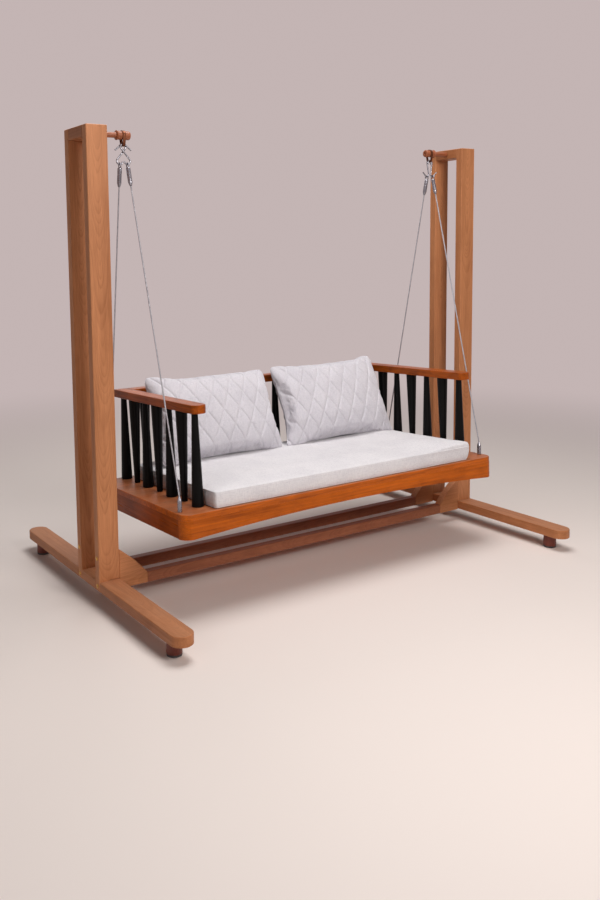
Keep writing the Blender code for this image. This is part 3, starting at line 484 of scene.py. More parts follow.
def shape_tree(name, sizes, counts=()):
    """A tree that takes a mesh and the named sizes and counts, and puts out a shape."""
    tree = bpy.data.node_groups.new(name, "GeometryNodeTree")
    tree.interface.new_socket("Geometry", in_out="OUTPUT", socket_type="NodeSocketGeometry")
    tree.interface.new_socket("Geometry", in_out="INPUT", socket_type="NodeSocketGeometry")
    for labels, kind in ((sizes, "NodeSocketFloat"), (counts, "NodeSocketInt")):
        for label in labels:
            tree.interface.new_socket(label, in_out="INPUT", socket_type=kind)
    return tree, tree.nodes.new("NodeGroupInput").outputs, tree.nodes.new("NodeGroupOutput").inputs


def finish_tree(tree, geometry, material, result):
    real = add(tree, "GeometryNodeRealizeInstances", {0: geometry})
    coated = add(tree, "GeometryNodeSetMaterial", {"Geometry": real.outputs[0], "Material": material})
    feed(tree, result[0], coated.outputs[0])
    return tree


def direction(tree, **shares):
    return add(tree, "ShaderNodeCombineXYZ", shares).outputs[0]


def rod_along(tree, path, radius, sides, **more):
    """A round rod with closed ends along a path."""
    ring = add(tree, "GeometryNodeCurvePrimitiveCircle", {"Resolution": sides, "Radius": radius})
    inputs = {"Curve": path, "Profile Curve": ring.outputs[0], "Fill Caps": True, **more}
    return add(tree, "GeometryNodeCurveToMesh", inputs).outputs[0]


def paced(tree, lines, step):
    """The edges of a mesh as paths with a point at every step."""
    path = add(tree, "GeometryNodeMeshToCurve", {"Mesh": lines})
    return add(tree, "GeometryNodeResampleCurve", {"Curve": path.outputs[0], "Length": step}, mode="LENGTH").outputs[0]


def copies_on(tree, points, shape, turn):
    inputs = {"Points": points, "Instance": shape, "Rotation": turn}
    return add(tree, "GeometryNodeInstanceOnPoints", inputs).outputs[0]


def grown(name, tree, material, mesh=None, **values):
    """Runs a shape tree with the given input values and keeps the result as a plain mesh."""
    piece = put_in(name, mesh or bpy.data.meshes.new(name))
    grow = piece.modifiers.new(name, "NODES")
    grow.node_group = tree
    for item in tree.interface.items_tree:
        if item.item_type == "SOCKET" and item.in_out == "INPUT" and item.name in values:
            grow[item.identifier] = values[item.name]
    baked(piece)
    finish_mesh(piece.data, material)
    return piece


def spindle_tree():
    """A tapering rod with softly rounded shoulders, standing on the origin."""
    tree, given, result = shape_tree("turned spindle", ("Height", "Foot Radius", "Head Radius", "Shoulder"))
    _, less, times, span = arithmetic(tree)
    line = add(tree, "GeometryNodeCurvePrimitiveLine", {"End": direction(tree, Z=given["Height"])})
    steps = add(tree, "GeometryNodeResampleCurve", {"Curve": line.outputs[0], "Count": 161})
    along = add(tree, "GeometryNodeSplineParameter").outputs
    taper = span(along["Factor"], 0.0, 1.0, given["Foot Radius"], given["Head Radius"])
    near = sum_up(tree, "MINIMUM", along["Length"], less(given["Height"], along["Length"]))
    round_share = sum_up(tree, "MINIMUM", sum_up(tree, "DIVIDE", near, given["Shoulder"]), 1.0)
    gone = less(1.0, round_share)
    bow = less(1.0, sum_up(tree, "SQRT", less(1.0, times(gone, gone))))
    radius = less(taper, times(bow, given["Shoulder"]))
    sized = add(tree, "GeometryNodeSetCurveRadius", {"Curve": steps.outputs[0], "Radius": radius})
    rod = rod_along(tree, sized.outputs[0], 1.0, 40, Scale=add(tree, "GeometryNodeInputRadius").outputs[0])
    return finish_tree(tree, rod, BLACK_LACQUER, result)


def rope_tree():
    """Helical strands laid side by side round the rope's axis, going up from the origin."""
    tree, given, result = shape_tree("laid strands", ("Length", "Turns", "Lay Radius", "Strand Radius"), ("Strands",))
    helix = add(tree, "GeometryNodeCurveSpiral", {
        "Resolution": 12, "Rotations": given["Turns"], "Start Radius": given["Lay Radius"],
        "End Radius": given["Lay Radius"], "Height": given["Length"]})
    strand = rod_along(tree, helix.outputs[0], given["Strand Radius"], 7)
    spots = add(tree, "GeometryNodePoints", {"Count": given["Strands"]})
    place = sum_up(tree, "DIVIDE", add(tree, "GeometryNodeInputIndex").outputs[0], given["Strands"])
    turn = direction(tree, Z=sum_up(tree, "MULTIPLY", place, 2 * math.pi))
    return finish_tree(tree, copies_on(tree, spots.outputs[0], strand, turn), ROPE_STEEL, result)


def stitch_tree():
    """Short stitches one after another along every line of the input mesh."""
    tree, given, result = shape_tree("sewn stitches", ("Pitch", "Stitch", "Thread Radius"))
    bead = add(tree, "GeometryNodeMeshUVSphere", {"Segments": 6, "Rings": 4, "Radius": 1.0})
    thin = given["Thread Radius"]
    size = direction(tree, X=thin, Y=thin, Z=sum_up(tree, "DIVIDE", given["Stitch"], 2.0))
    slim = add(tree, "GeometryNodeTransform", {"Geometry": bead.outputs[0], "Scale": size})
    run = add(tree, "GeometryNodeInputTangent")
    turn = add(tree, "FunctionNodeAlignRotationToVector", {"Vector": run.outputs[0]}, axis="Z")
    points = paced(tree, given["Geometry"], given["Pitch"])
    return finish_tree(tree, copies_on(tree, points, slim.outputs[0], turn.outputs[0]), THREAD, result)


def welt_tree():
    """A thin sewn cord along every line of the input mesh."""
    tree, given, result = shape_tree("sewn welt", ("Radius", "Step"))
    cord = rod_along(tree, paced(tree, given["Geometry"], given["Step"]), given["Radius"], 10)
    return finish_tree(tree, cord, SEAT_CLOTH, result)


def bolt_tree():
    """A dome-headed bolt with a washer at every point of the input mesh, facing along X."""
    tree, given, result = shape_tree("dome bolts", ("Head Radius", "Facing"))
    ball = add(tree, "GeometryNodeMeshUVSphere", {"Segments": 28, "Rings": 18, "Radius": given["Head Radius"]})
    dome = add(tree, "GeometryNodeTransform", {"Geometry": ball.outputs[0], "Scale": (1.0, 1.0, 0.42)})
    rim_radius = sum_up(tree, "MULTIPLY", given["Head Radius"], 1.18)
    rim = add(tree, "GeometryNodeMeshCylinder", {"Vertices": 36, "Radius": rim_radius, "Depth": WASHER})
    both = add(tree, "GeometryNodeJoinGeometry")
    for shape in (rim, dome):
        feed(tree, both.inputs[0], shape.outputs[0])
    turn = direction(tree, Y=sum_up(tree, "MULTIPLY", given["Facing"], QUARTER))
    return finish_tree(tree, copies_on(tree, given["Geometry"], both.outputs[0], turn), BRASS, result)


# Stand

def dress_stand():
    timbers = {"_post": POST_WOOD, "_stretcher": SHADED_STRETCHER_WOOD, "_bracket": BRACKET_WOOD, "_foot": FOOT_WOOD,
               "_top_block": FOOT_WOOD}
    for name, node in NODES.items():
        for ending, timber in timbers.items():
            if name.endswith(ending):
                coat(node.data, timber)


def turn_pegs():
    profile = [(0.0005, 0.0), (0.0005, 0.011), (0.078, 0.011), (0.0835, 0.0125), (0.085, 0.0165), (0.0865, 0.0188),
               (0.088, 0.0195), (0.0895, 0.0188), (0.091, 0.0175),
               (PEG_GROOVE - 0.0082, 0.0175), (PEG_GROOVE - 0.0068, 0.0162),
               (PEG_GROOVE + 0.0068, 0.0162), (PEG_GROOVE + 0.0082, 0.0175)]
    profile += arc((PEG_TIP - 0.006, 0.0115), 0.006, QUARTER, 0.0, 8)
    profile += [(PEG_TIP, 0.0062), (PEG_TIP - 0.0008, 0.0056), (PEG_TIP - 0.004, 0.0052), (PEG_TIP - 0.004, 0.0)]
    for name, side in SIDES.items():
        seat = Matrix.Translation((side * POST_INNER, 0.0, PIVOT_HEIGHT)) @ Matrix.Rotation(-side * QUARTER, 4, "Y")
        peg = piece_from(f"{name}_turned_peg", placed(lathe(profile), seat), TURNED_WOOD)
        stand_in(peg, "stand", "stand_wood", f"{name}_hanger_peg")


def turn_floor_pads():
    glide = [(0.0, 0.0), (0.0, 0.0265), (0.001, 0.0278), (0.0085, 0.0282), (0.0085, 0.0)]
    bun = [(0.0088, 0.0), (0.0088, 0.0276), (0.0105, 0.0288), (0.014, 0.029), (0.055, 0.0272), (0.059, 0.0268),
           (0.0606, 0.0255), (0.0606, 0.0)]
    for name, (side, end) in CORNERS.items():
        seat = Matrix.Translation((side * FOOT_CENTRE, end * PAD_PLACE, 0.0))
        foot = piece_from(f"{name}_turned_pad", placed(lathe(bun), seat), PAD_WOOD)
        stand_in(foot, "stand", "stand_wood", f"{name}_floor_pad")
        stand_in(piece_from(f"{name}_glide", placed(lathe(glide), seat), RUBBER), "stand", "stand_wood")


def fit_bolts():
    tree = bolt_tree()
    for name, side in SIDES.items():
        face = side * (POST_OUTER + WASHER / 2)
        spots = bpy.data.meshes.new(f"{name}_bolt_places")
        spots.from_pydata([(face, end * POST_MIDDLE, height) for end in (-1, 1) for height in BOLT_HEIGHTS], [], [])
        bolts = grown(f"{name}_dome_bolts", tree, BRASS, spots, **{"Head Radius": BOLT_HEAD, "Facing": float(side)})
        stand_in(bolts, "stand", "bronze")


# Suspension

def hook_top():
    """Height of a hook's upper bend, whose wire lies in the strap's lower bend."""
    half = STRAP_WIDTH / 2
    rise = math.sqrt(HOOK_BEND ** 2 - half ** 2)
    reach = rise - math.sqrt((HOOK_BEND - HOOK_WIRE) ** 2 - half ** 2)
    return -STRAP_DROP - math.sqrt((STRAP_LOWER_BEND - FIT - reach) ** 2 - HOOK_SIDE ** 2) - rise


def hook_base(side, end):
    """The lowest point of a hook's wire, where a rope's eye hangs."""
    lean = -end * HOOK_LEAN
    return Vector((side * STRAP_X + HOOK_SPACING * math.sin(lean), end * HOOK_SIDE,
                   hook_top() - HOOK_SPACING * math.cos(lean) - HOOK_BEND))


def bend_straps():
    slant = math.asin((STRAP_UPPER_BEND - STRAP_LOWER_BEND) / STRAP_DROP)
    loops = []
    for grow in (0.0, STRAP_THICKNESS):
        loop = arc((0.0, 0.0), STRAP_UPPER_BEND + grow, -slant, math.pi + slant, 48)
        loop += arc((0.0, -STRAP_DROP), STRAP_LOWER_BEND + grow, math.pi + slant, 2 * math.pi - slant, 28)
        loops.append(loop)
    for name, side in SIDES.items():
        bm = bmesh.new()
        rings = []
        for loop in loops:
            for across in (-1, 1):
                x = side * STRAP_X + across * STRAP_WIDTH / 2
                rings.append([bm.verts.new((x, y, z)) for y, z in loop])
        for first, second in ((0, 1), (1, 3), (3, 2), (2, 0)):
            join_rings(bm, rings[first], rings[second])
        strap = piece_from(f"{name}_bent_strap", placed(bm, SWING), BRONZE)
        soften = strap.modifiers.new("soft edges", "BEVEL")
        soften.width = 0.0007
        soften.segments = 2
        soften.limit_method = "ANGLE"
        soften.angle_limit = math.radians(60.0)
        stand_in(baked(strap), "swing", "bronze", f"{name}_hanger_strap")


def hook_line(opening, tail_length):
    """An S-hook's wire in its own plane: a flared tail, the upper bend and the lower bend."""
    slant = math.asin(2 * HOOK_BEND / HOOK_SPACING)
    upper = arc((0.0, 0.0), HOOK_BEND, opening, -slant, 28)
    lower = arc((0.0, -HOOK_SPACING), HOOK_BEND, math.pi - slant, HOOK_END, 36)
    tail = []
    for step in range(6):
        left = 1 - step / 6
        flare = TAIL_FLARE * left ** 2
        tail.append((upper[0][0] - tail_length * left * math.sin(opening) - flare,
                     upper[0][1] + tail_length * left * math.cos(opening) + flare * 0.5))
    return tail + upper + lower


def bent_wire(name, points, radius):
    """A round wire through the points, as a mesh."""
    curve = bpy.data.curves.new(name, "CURVE")
    curve.dimensions = "3D"
    curve.bevel_depth = radius
    curve.bevel_resolution = 6
    curve.use_fill_caps = True
    spline = curve.splines.new("POLY")
    spline.points.add(len(points) - 1)
    for knot, point in zip(spline.points, points):
        knot.co = (*point, 1.0)
    rod = put_in("rod", curve)
    bpy.context.view_layer.update()
    mesh = bpy.data.meshes.new_from_object(rod.evaluated_get(bpy.context.evaluated_depsgraph_get()))
    bpy.data.objects.remove(rod)
    return mesh


def bend_hooks():
    for name, (side, end) in CORNERS.items():
        lean = -end * HOOK_LEAN
        points = []
        for u, w in hook_line(*HOOK_TAILS[side]):
            if side > 0:
                u, w = -u, -HOOK_SPACING - w
            u *= -end * side
            points.append(SWING @ Vector((side * STRAP_X + u * math.cos(lean) - w * math.sin(lean), end * HOOK_SIDE,
                                          hook_top() + u * math.sin(lean) + w * math.cos(lean))))
        mesh = bent_wire(f"{name}_bent_hook", points, HOOK_WIRE)
        finish_mesh(mesh, POLISHED_STEEL)
        stand_in(put_in(f"{name}_bent_hook", mesh), "swing", "steel", f"{name}_s_hook")


def rope_axis(side, end):
    """The rope's frame: origin on the hook's wire, Z up along the rope, and the length down to the anchor's tip."""
    hook = hook_base(side, end)
    foot = Vector((side * ANCHOR_X, end * ANCHOR_Y, SEAT_TOP + ANCHOR_TIP))
    line = foot - hook
    up = -line.normalized()
    across = (Vector((1.0, 0.0, 0.0)) - up * up.x).normalized()
    turn = Matrix((across, up.cross(across), up)).transposed().to_4x4()
    return SWING @ Matrix.Translation(hook) @ turn, line.length


def ring_about_x(major, minor, steps, sides):
    bm = bmesh.new()
    spots = []
    for k in range(sides):
        angle = 2 * math.pi * k / sides
        spots.append(bm.verts.new((minor * math.cos(angle), major + minor * math.sin(angle), 0.0)))
    edges = [bm.edges.new((spots[k], spots[(k + 1) % sides])) for k in range(sides)]
    bmesh.ops.spin(bm, geom=spots + edges, axis=(1, 0, 0), cent=(0, 0, 0), angle=2 * math.pi, steps=steps,
                   use_merge=True)
    bmesh.ops.remove_doubles(bm, verts=bm.verts, dist=1e-6)
    return bm


def lay_ropes():
    tree = rope_tree()
    eye_drop = EYE_RADIUS - EYE_WIRE - HOOK_WIRE - FIT
    top = -(eye_drop + EYE_RADIUS - EYE_WIRE / 2)
    bottom = top - SLEEVE_LENGTH
    sleeve = [(bottom, 0.0), (bottom, 0.0043), (bottom + 0.001, 0.0048), (bottom + 0.012, 0.0080),
              (bottom + 0.0145, 0.0088), (bottom + 0.017, SLEEVE_RADIUS), (top - 0.030, SLEEVE_RADIUS),
              (top - 0.0295, 0.0086), (top - 0.0285, 0.0086), (top - 0.028, SLEEVE_RADIUS),
              (top - 0.005, SLEEVE_RADIUS), (top - 0.002, 0.0082), (top, 0.0064), (top, 0.0)]
    for name, (side, end) in CORNERS.items():
        seat, length = rope_axis(side, end)
        run = length + bottom + 0.010
        values = {"Length": run, "Turns": run / ROPE_LAY, "Lay Radius": ROPE_RADIUS - STRAND_RADIUS,
                  "Strand Radius": STRAND_RADIUS, "Strands": STRANDS}
        rope = grown(f"{name}_laid_rope", tree, ROPE_STEEL, **values)
        rope.data.transform(seat @ Matrix.Translation((0.0, 0.0, -length + 0.0005)))
        stand_in(rope, "swing", "steel", f"{name}_rope")
        low, high = -length + 0.001, bottom + 0.004
        core = [(low, 0.0), (low, CORE_RADIUS), (high, CORE_RADIUS), (high, 0.0)]
        stand_in(piece_from(f"{name}_rope_core", placed(lathe(core, 16), seat), ROPE_STEEL), "swing", "steel")
        stand_in(piece_from(f"{name}_sleeve", placed(lathe(sleeve, 40), seat), POLISHED_STEEL), "swing", "steel")
        ring = placed(ring_about_x(EYE_RADIUS, EYE_WIRE, 40, 16), seat @ Matrix.Translation((0.0, 0.0, -eye_drop)))
        stand_in(piece_from(f"{name}_eye", ring, POLISHED_STEEL), "swing", "steel")


def turn_anchors():
    profile = [(0.0004, 0.0), (0.0004, 0.0088), (0.0012, 0.0090), (0.0062, 0.0090), (0.0070, 0.0084), (0.0080, 0.0084),
               (0.0088, 0.0090), (0.0430, 0.0090), (0.0450, 0.0086), (0.0470, 0.0078), (0.0585, 0.0047),
               (ANCHOR_TIP, 0.0040), (ANCHOR_TIP, 0.0)]
    for name, (side, end) in CORNERS.items():
        seat = SWING @ Matrix.Translation((side * ANCHOR_X, end * ANCHOR_Y, SEAT_TOP))
        anchor = piece_from(f"{name}_swaged_anchor", placed(lathe(profile, 40), seat), POLISHED_STEEL)
        stand_in(anchor, "swing", "steel", f"{name}_rope_anchor")


# Seat

def dress_seat():
    timbers = {"seat_board": PANEL_WOOD, "seat_front_rail": LONG_RAIL_WOOD, "seat_rear_rail": LONG_RAIL_WOOD,
               "seat_left_rail": SHADED_END_RAIL_WOOD, "seat_right_rail": SHADED_END_RAIL_WOOD, "seat_batten": PANEL_WOOD,
               "left_armrest": ARM_WOOD, "right_armrest": ARM_WOOD}
    for name, timber in timbers.items():
        coat(NODES[name].data, timber)


def turn_spindle(tree, name, x, y, narrow_foot):
    foot, head = (SPINDLE_NARROW, SPINDLE_WIDE) if narrow_foot else (SPINDLE_WIDE, SPINDLE_NARROW)
    height = ARM_BOTTOM - SEAT_TOP - 2 * FIT
    values = {"Height": height, "Foot Radius": foot, "Head Radius": head, "Shoulder": SPINDLE_SHOULDER}
    spindle = grown(name, tree, BLACK_LACQUER, **values)
    spindle.data.transform(SWING @ Matrix.Translation((x, y, SEAT_TOP + FIT)))
    return spindle


def turn_spindles():
    tree = spindle_tree()
    for name, side in SIDES.items():
        for number in range(1, SIDE_SPINDLES + 1):
            from_corner = SIDE_SPINDLES - number
            y = BACK_ROW - SPINDLE_PITCH * from_corner
            spindle = turn_spindle(tree, f"{name}_turned_spindle_{number}", side * ARM_X, y, from_corner % 2 == 1)
            stand_in(spindle, "swing", "black_lacquer", f"{name}_spindle_{number}")
    for number in range(1, BACK_SPACES):
        x = -ARM_X + 2 * ARM_X * number / BACK_SPACES
        spindle = turn_spindle(tree, f"back_turned_spindle_{number}", x, BACK_ROW, number % 2 == 1)
        stand_in(spindle, "swing", "black_lacquer")


def plane_back_rail():
    reach = ARM_X - ARM_WIDTH / 2 - FIT
    bm = bmesh.new()
    bmesh.ops.create_cube(bm, size=1.0)
    bmesh.ops.scale(bm, vec=(2 * reach, ARM_WIDTH, ARM_THICKNESS), verts=bm.verts)
    long_edges = [e for e in bm.edges if abs(e.verts[0].co.x - e.verts[1].co.x) > reach]
    bmesh.ops.bevel(bm, geom=long_edges, offset=0.004, segments=4, profile=0.5, affect="EDGES")
    placed(bm, SWING @ Matrix.Translation((0.0, BACK_ROW, ARM_BOTTOM + ARM_THICKNESS / 2)))
    stand_in(piece_from("planed_back_rail", bm, BACK_RAIL_WOOD), "swing", "seat_wood", "back_rail")


# Soft pieces

FILLING = dict(quality=6, mass=0.3, tension_stiffness=18.0, compression_stiffness=18.0, shear_stiffness=8.0,
               bending_stiffness=0.6, use_pressure=True)
FILLING_STEPS = 20


def fill_cover(piece, pressure, limit, held):
    """Swells a cover by cloth pressure, with the held points fixed and no point moved past the limit."""
    start = [vert.co.copy() for vert in piece.data.vertices]
    seams = piece.vertex_groups.new(name="seams")
    swell = piece.modifiers.new("swelling", "CLOTH")
    for key, value in FILLING.items():
        setattr(swell.settings, key, value)
    swell.settings.uniform_pressure_force = pressure
    swell.settings.effector_weights.gravity = 0.0
    if held:
        seams.add([k for k, point in enumerate(start) if held(point)], 1.0, "REPLACE")
        swell.settings.vertex_group_mass = "seams"
    swell.collision_settings.use_collision = False
    swell.collision_settings.use_self_collision = False
    swell.point_cache.frame_start = 1
    swell.point_cache.frame_end = FILLING_STEPS
    for step in range(1, FILLING_STEPS + 1):
        bpy.context.scene.frame_set(step)
    graph = bpy.context.evaluated_depsgraph_get()
    ended = [vert.co.copy() for vert in piece.evaluated_get(graph).data.vertices]
    piece.modifiers.clear()
    piece.vertex_groups.clear()
    bpy.context.scene.frame_set(1)
    for vert, first, last in zip(piece.data.vertices, start, ended):
        move = last - first
        if move.length > limit:
            move *= limit / move.length
        vert.co = first + move


def swollen(piece, voxel, pressure, limit, held=None):
    """Evens out a closed cover, fills it and smooths it once."""
    even = piece.modifiers.new("even cover", "REMESH")
    even.mode = "VOXEL"
    even.voxel_size = voxel
    baked(piece)
    fill_cover(piece, pressure, limit, held)
    fine = piece.modifiers.new("smooth cover", "SUBSURF")
    fine.levels = 1
    fine.render_levels = 1
    return baked(piece)


def clamped(value, low=0.0, high=1.0):
    return min(high, max(low, value))


def smooth_share(value, low, high):
    share = clamped((value - low) / (high - low))
    return share * share * (3 - 2 * share)


def wrinkle(point, size, seed):
    return noise.noise(Vector((point.x / size + seed, point.y / size - seed, point.z / size + 0.5 * seed)))


def rounded_outline(half_x, half_y, radius, steps=8):
    points = []
    for quarter, (sx, sy) in enumerate(((1, 1), (-1, 1), (-1, -1), (1, -1))):
        centre = (sx * (half_x - radius), sy * (half_y - radius))
        points += arc(centre, radius, quarter * QUARTER, (quarter + 1) * QUARTER, steps)
    return points


def surface_of(mesh):
    bm = bmesh.new()
    bm.from_mesh(mesh)
    skin = BVHTree.FromBMesh(bm)
    bm.free()
    return skin


def line_mesh(name, loops, closed):
    """Lines of points as a mesh of edges."""
    points, edges = [], []
    for loop in loops:
        first = len(points)
        points += loop
        edges += [(k, k + 1) for k in range(first, len(points) - 1)]
        if closed:
            edges.append((len(points) - 1, first))
    mesh = bpy.data.meshes.new(name)
    mesh.from_pydata(points, edges, [])
    return mesh


def finish_soft(filled, trim, node):
    """Hangs a filled piece and its sewn trim in the swing, in place of its solid."""
    for piece in (filled, *trim):
        piece.data.transform(SWING)
        piece.data.shade_smooth()
    stand_in(filled, "swing", "heather_fabric", node)
    for piece in trim:
        stand_in(piece, "swing", "heather_fabric")


def cushion_cover():
    """The boxed and crowned cover before filling, a little smaller than the finished cushion, in the swing's axes."""
    bm = bmesh.new()
    rings = []
    for height, inset in ((0.0, 0.0035), (0.003, 0.0008), (0.006, 0.0), (0.032, 0.0), (0.058, 0.0), (0.0612, 0.0008),
                          (CUSHION_HEIGHT, 0.0035)):
        outline = rounded_outline(CUSHION_HALF_LENGTH - COVER_SLACK - inset, CUSHION_HALF_DEPTH - COVER_SLACK - inset,
                                  COVER_CORNER - inset)
        rings.append([bm.verts.new((x, y + CUSHION_MIDDLE, CUSHION_BASE + height)) for x, y in outline])
    edge = [vert.co.copy() for vert in rings[-1]]
    for share in (0.985, 0.96, 0.93, 0.88, 0.8, 0.68, 0.5, 0.25):
        crown = CUSHION_CROWN * (1 - share ** 8)
        rings.append([bm.verts.new((point.x * share, CUSHION_MIDDLE + (point.y - CUSHION_MIDDLE) * share,
                                    point.z + crown)) for point in edge])
    for lower, upper in zip(rings, rings[1:]):
        join_rings(bm, lower, upper)
    bm.faces.new(rings[0])
    bm.faces.new(rings[-1])
    return bm


def on_cushion_seam(point):
    reach_x = CUSHION_HALF_LENGTH - abs(point.x)
    reach_y = CUSHION_HALF_DEPTH - abs(point.y - CUSHION_MIDDLE)
    height = point.z - CUSHION_BASE
    near_side = min(reach_x, reach_y) < 0.011
    near_edge = height < 0.010 or height > CUSHION_HEIGHT - 0.010
    return (near_side and near_edge) or (reach_x < 0.012 and reach_y < 0.012)


def round_the_cushion(skin, height):
    """A closed line round the cushion's sides at one height, on its cloth."""
    margin = 0.05
    corners = [Vector(spot) for spot in rounded_outline(CUSHION_HALF_LENGTH, CUSHION_HALF_DEPTH, WELT_CORNER)]
    line = []
    for start, end in zip(corners, corners[1:] + corners[:1]):
        pieces = max(1, round((end - start).length / 0.012))
        line += [start.lerp(end, k / pieces) for k in range(pieces)]
    loop = []
    for spot in line:
        inner = Vector((clamped(spot.x, -CUSHION_HALF_LENGTH + margin, CUSHION_HALF_LENGTH - margin),
                        clamped(spot.y, -CUSHION_HALF_DEPTH + margin, CUSHION_HALF_DEPTH - margin)))
        out = (spot - inner).normalized()
        far = spot + out * 0.06
        hit = skin.ray_cast(Vector((far.x, far.y + CUSHION_MIDDLE, CUSHION_BASE + height)),
                            Vector((-out.x, -out.y, 0.0)))[0]
        loop.append(hit if hit else Vector((spot.x, spot.y + CUSHION_MIDDLE, CUSHION_BASE + height)))
    return loop


def settle_cushion(cushion):
    """Ripples the cushion's top and sides, and makes its right end fuller as in the photo."""
    for vert in cushion.data.vertices:
        point = vert.co
        lift = (point.z - CUSHION_BASE) / CUSHION_HEIGHT
        if lift > 0.5:
            share_x = max(0.0, 1.0 - (abs(point.x) / CUSHION_HALF_LENGTH) ** 8)
            share_y = max(0.0, 1.0 - (abs(point.y - CUSHION_MIDDLE) / CUSHION_HALF_DEPTH) ** 8)
            ease = share_x * share_y * min(1.0, (lift - 0.5) * 2)
            point.z += (0.0016 * wrinkle(point, 0.16, 3.1) + 0.0006 * wrinkle(point, 0.05, 5.3)) * ease
        swell = smooth_share(point.x, 0.36, 0.64) * (0.7 + 0.3 * smooth_share(-point.y, -0.1, 0.3))
        point.z = max(point.z, CUSHION_BASE) + 0.017 * swell * clamped(lift)
        front_corner = smooth_share(point.x, 0.50, 0.69) * smooth_share(-point.y, 0.24, 0.33)
        point.x += 0.014 * front_corner * clamped(2 * lift)
        if abs(point.z - CUSHION_BASE - CUSHION_HEIGHT / 2) < 0.026:
            point.y += 0.0007 * wrinkle(point, 0.11, 7.7)


def sew_seat_cushion(welts, stitches):
    cushion = piece_from("filled_seat_cushion", cushion_cover(), SEAT_CLOTH)
    swollen(cushion, 0.009, 4.0, 0.006, on_cushion_seam)
    settle_cushion(cushion)
    skin = surface_of(cushion.data)
    edges = line_mesh("cushion welt lines", [round_the_cushion(skin, height) for height in (0.0035, 0.0615)], True)
    row = line_mesh("cushion stitch lines", [round_the_cushion(skin, 0.0525)], True)
    welt = grown("seat_cushion_welts", welts, SEAT_CLOTH, edges, Radius=CUSHION_WELT, Step=WELT_STEP)
    thread = grown("seat_cushion_stitches", stitches, THREAD, row, **SEWING)
    finish_soft(cushion, (welt, thread), "seat_cushion")
    return cushion


def pillow_point(u, v, front):
    """A point of the pillow's cover before filling: width along X, height along Z, front towards -Y."""
    soft = 1 - 0.06 * (u * v) ** 8
    x = COVER_WIDTH / 2 * u * (1 - 0.035 * (1 - v * v)) * soft
    z = COVER_HEIGHT / 2 * v * (1 - 0.075 * (1 - u * u)) * soft
    swell = 0.060 if front else -0.050
    fall = max(0.0, (1 - abs(u) ** 2.6) * (1 - abs(v) ** 2.6)) ** 0.6
    return Vector((x, -swell * fall - (0.004 if front else -0.004), z))


def pillow_cover():
    columns, rows = 52, 34
    bm = bmesh.new()
    spots = {}
    for front in (True, False):
        for i in range(columns + 1):
            for j in range(rows + 1):
                spots[front, i, j] = bm.verts.new(pillow_point(2 * i / columns - 1, 2 * j / rows - 1, front))
        for i in range(columns):
            for j in range(rows):
                corners = ((i, j), (i + 1, j), (i + 1, j + 1), (i, j + 1))
                bm.faces.new([spots[front, *corner] for corner in corners])
    rim = [(i, 0) for i in range(columns)] + [(columns, j) for j in range(rows)]
    rim += [(i, rows) for i in range(columns, 0, -1)] + [(0, j) for j in range(rows, 0, -1)]
    join_rings(bm, [spots[True, *spot] for spot in rim], [spots[False, *spot] for spot in rim])
    return bm


def quilt_distance(x, z):
    """How far a point of the pillow's face lies from the nearest line of diamond quilting."""
    slope = math.hypot(1.0 / QUILT_WIDTH, 1.0 / QUILT_HEIGHT)
    shares = (x / QUILT_WIDTH + z / QUILT_HEIGHT, x / QUILT_WIDTH - z / QUILT_HEIGHT)
    return min(abs(share - round(share)) / slope for share in shares)


def pull_corners(pillow, pulls):
    """Pulls a filled pillow's corners out or down."""
    for vert in pillow.data.vertices:
        across, up = vert.co.x * 2 / COVER_WIDTH, vert.co.z * 2 / COVER_HEIGHT
        for side, height, start, out, rise in pulls:
            share = smooth_share(across * side, start, 0.95) * smooth_share(up * height, start - 0.1, 0.95)
            vert.co.x += out * share
            vert.co.z += rise * share


def quilt(pillow, seed):
    """Draws the stitched lines in and lets the diamonds between them puff out."""
    normals = [vert.normal.copy() for vert in pillow.data.vertices]
    for vert, normal in zip(pillow.data.vertices, normals):
        point = vert.co
        face = clamped((abs(normal.y) - 0.08) / 0.3)
        hem = smooth_share(abs(point.z) * 2 / COVER_HEIGHT, 0.55, 0.95)
        gap = quilt_distance(point.x + QUILT_WANDER * wrinkle(point, 0.2, seed), point.z)
        dip = math.exp(-(gap / 0.0042) ** 2)
        puff = min(1.0, gap / 0.022) ** 0.6
        crease = wrinkle(point, 0.05, seed) * 0.0012 + wrinkle(point, 0.12, seed + 2) * 0.003
        vert.co = point + normal * (face * (0.0018 * puff - (0.0032 + 0.0016 * hem) * dip) + crease)
    pillow.data.update()


def seat_pillow(pillow, side, cushion_top):
    """Leans the pillow back and brings it down on the cushion and against the rail, flat where it bears."""
    mesh = pillow.data
    place = Matrix.Translation((side * PILLOW_SPACING / 2, CUSHION_MIDDLE, CUSHION_BASE))
    place = place @ Matrix.Rotation(-PILLOW_LEAN, 4, "X")
    mesh.transform(place)
    for _ in range(4):
        drop = min(vert.co.z - cushion_top(vert.co) for vert in mesh.vertices) + 0.014
        at_rail = [vert.co.y for vert in mesh.vertices
                   if ARM_BOTTOM - 0.01 < vert.co.z - drop < ARM_BOTTOM + ARM_THICKNESS + 0.01]
        push = BACK_ROW - SPINDLE_WIDE - max(vert.co.y for vert in mesh.vertices)
        push = min(push, BACK_ROW - ARM_WIDTH / 2 - max(at_rail, default=0.0))
        step = Matrix.Translation((0.0, push - 0.001, -drop))
        mesh.transform(step)
        place = step @ place
    for vert in mesh.vertices:
        vert.co.z = max(vert.co.z, cushion_top(vert.co) + 0.0006)
    return place


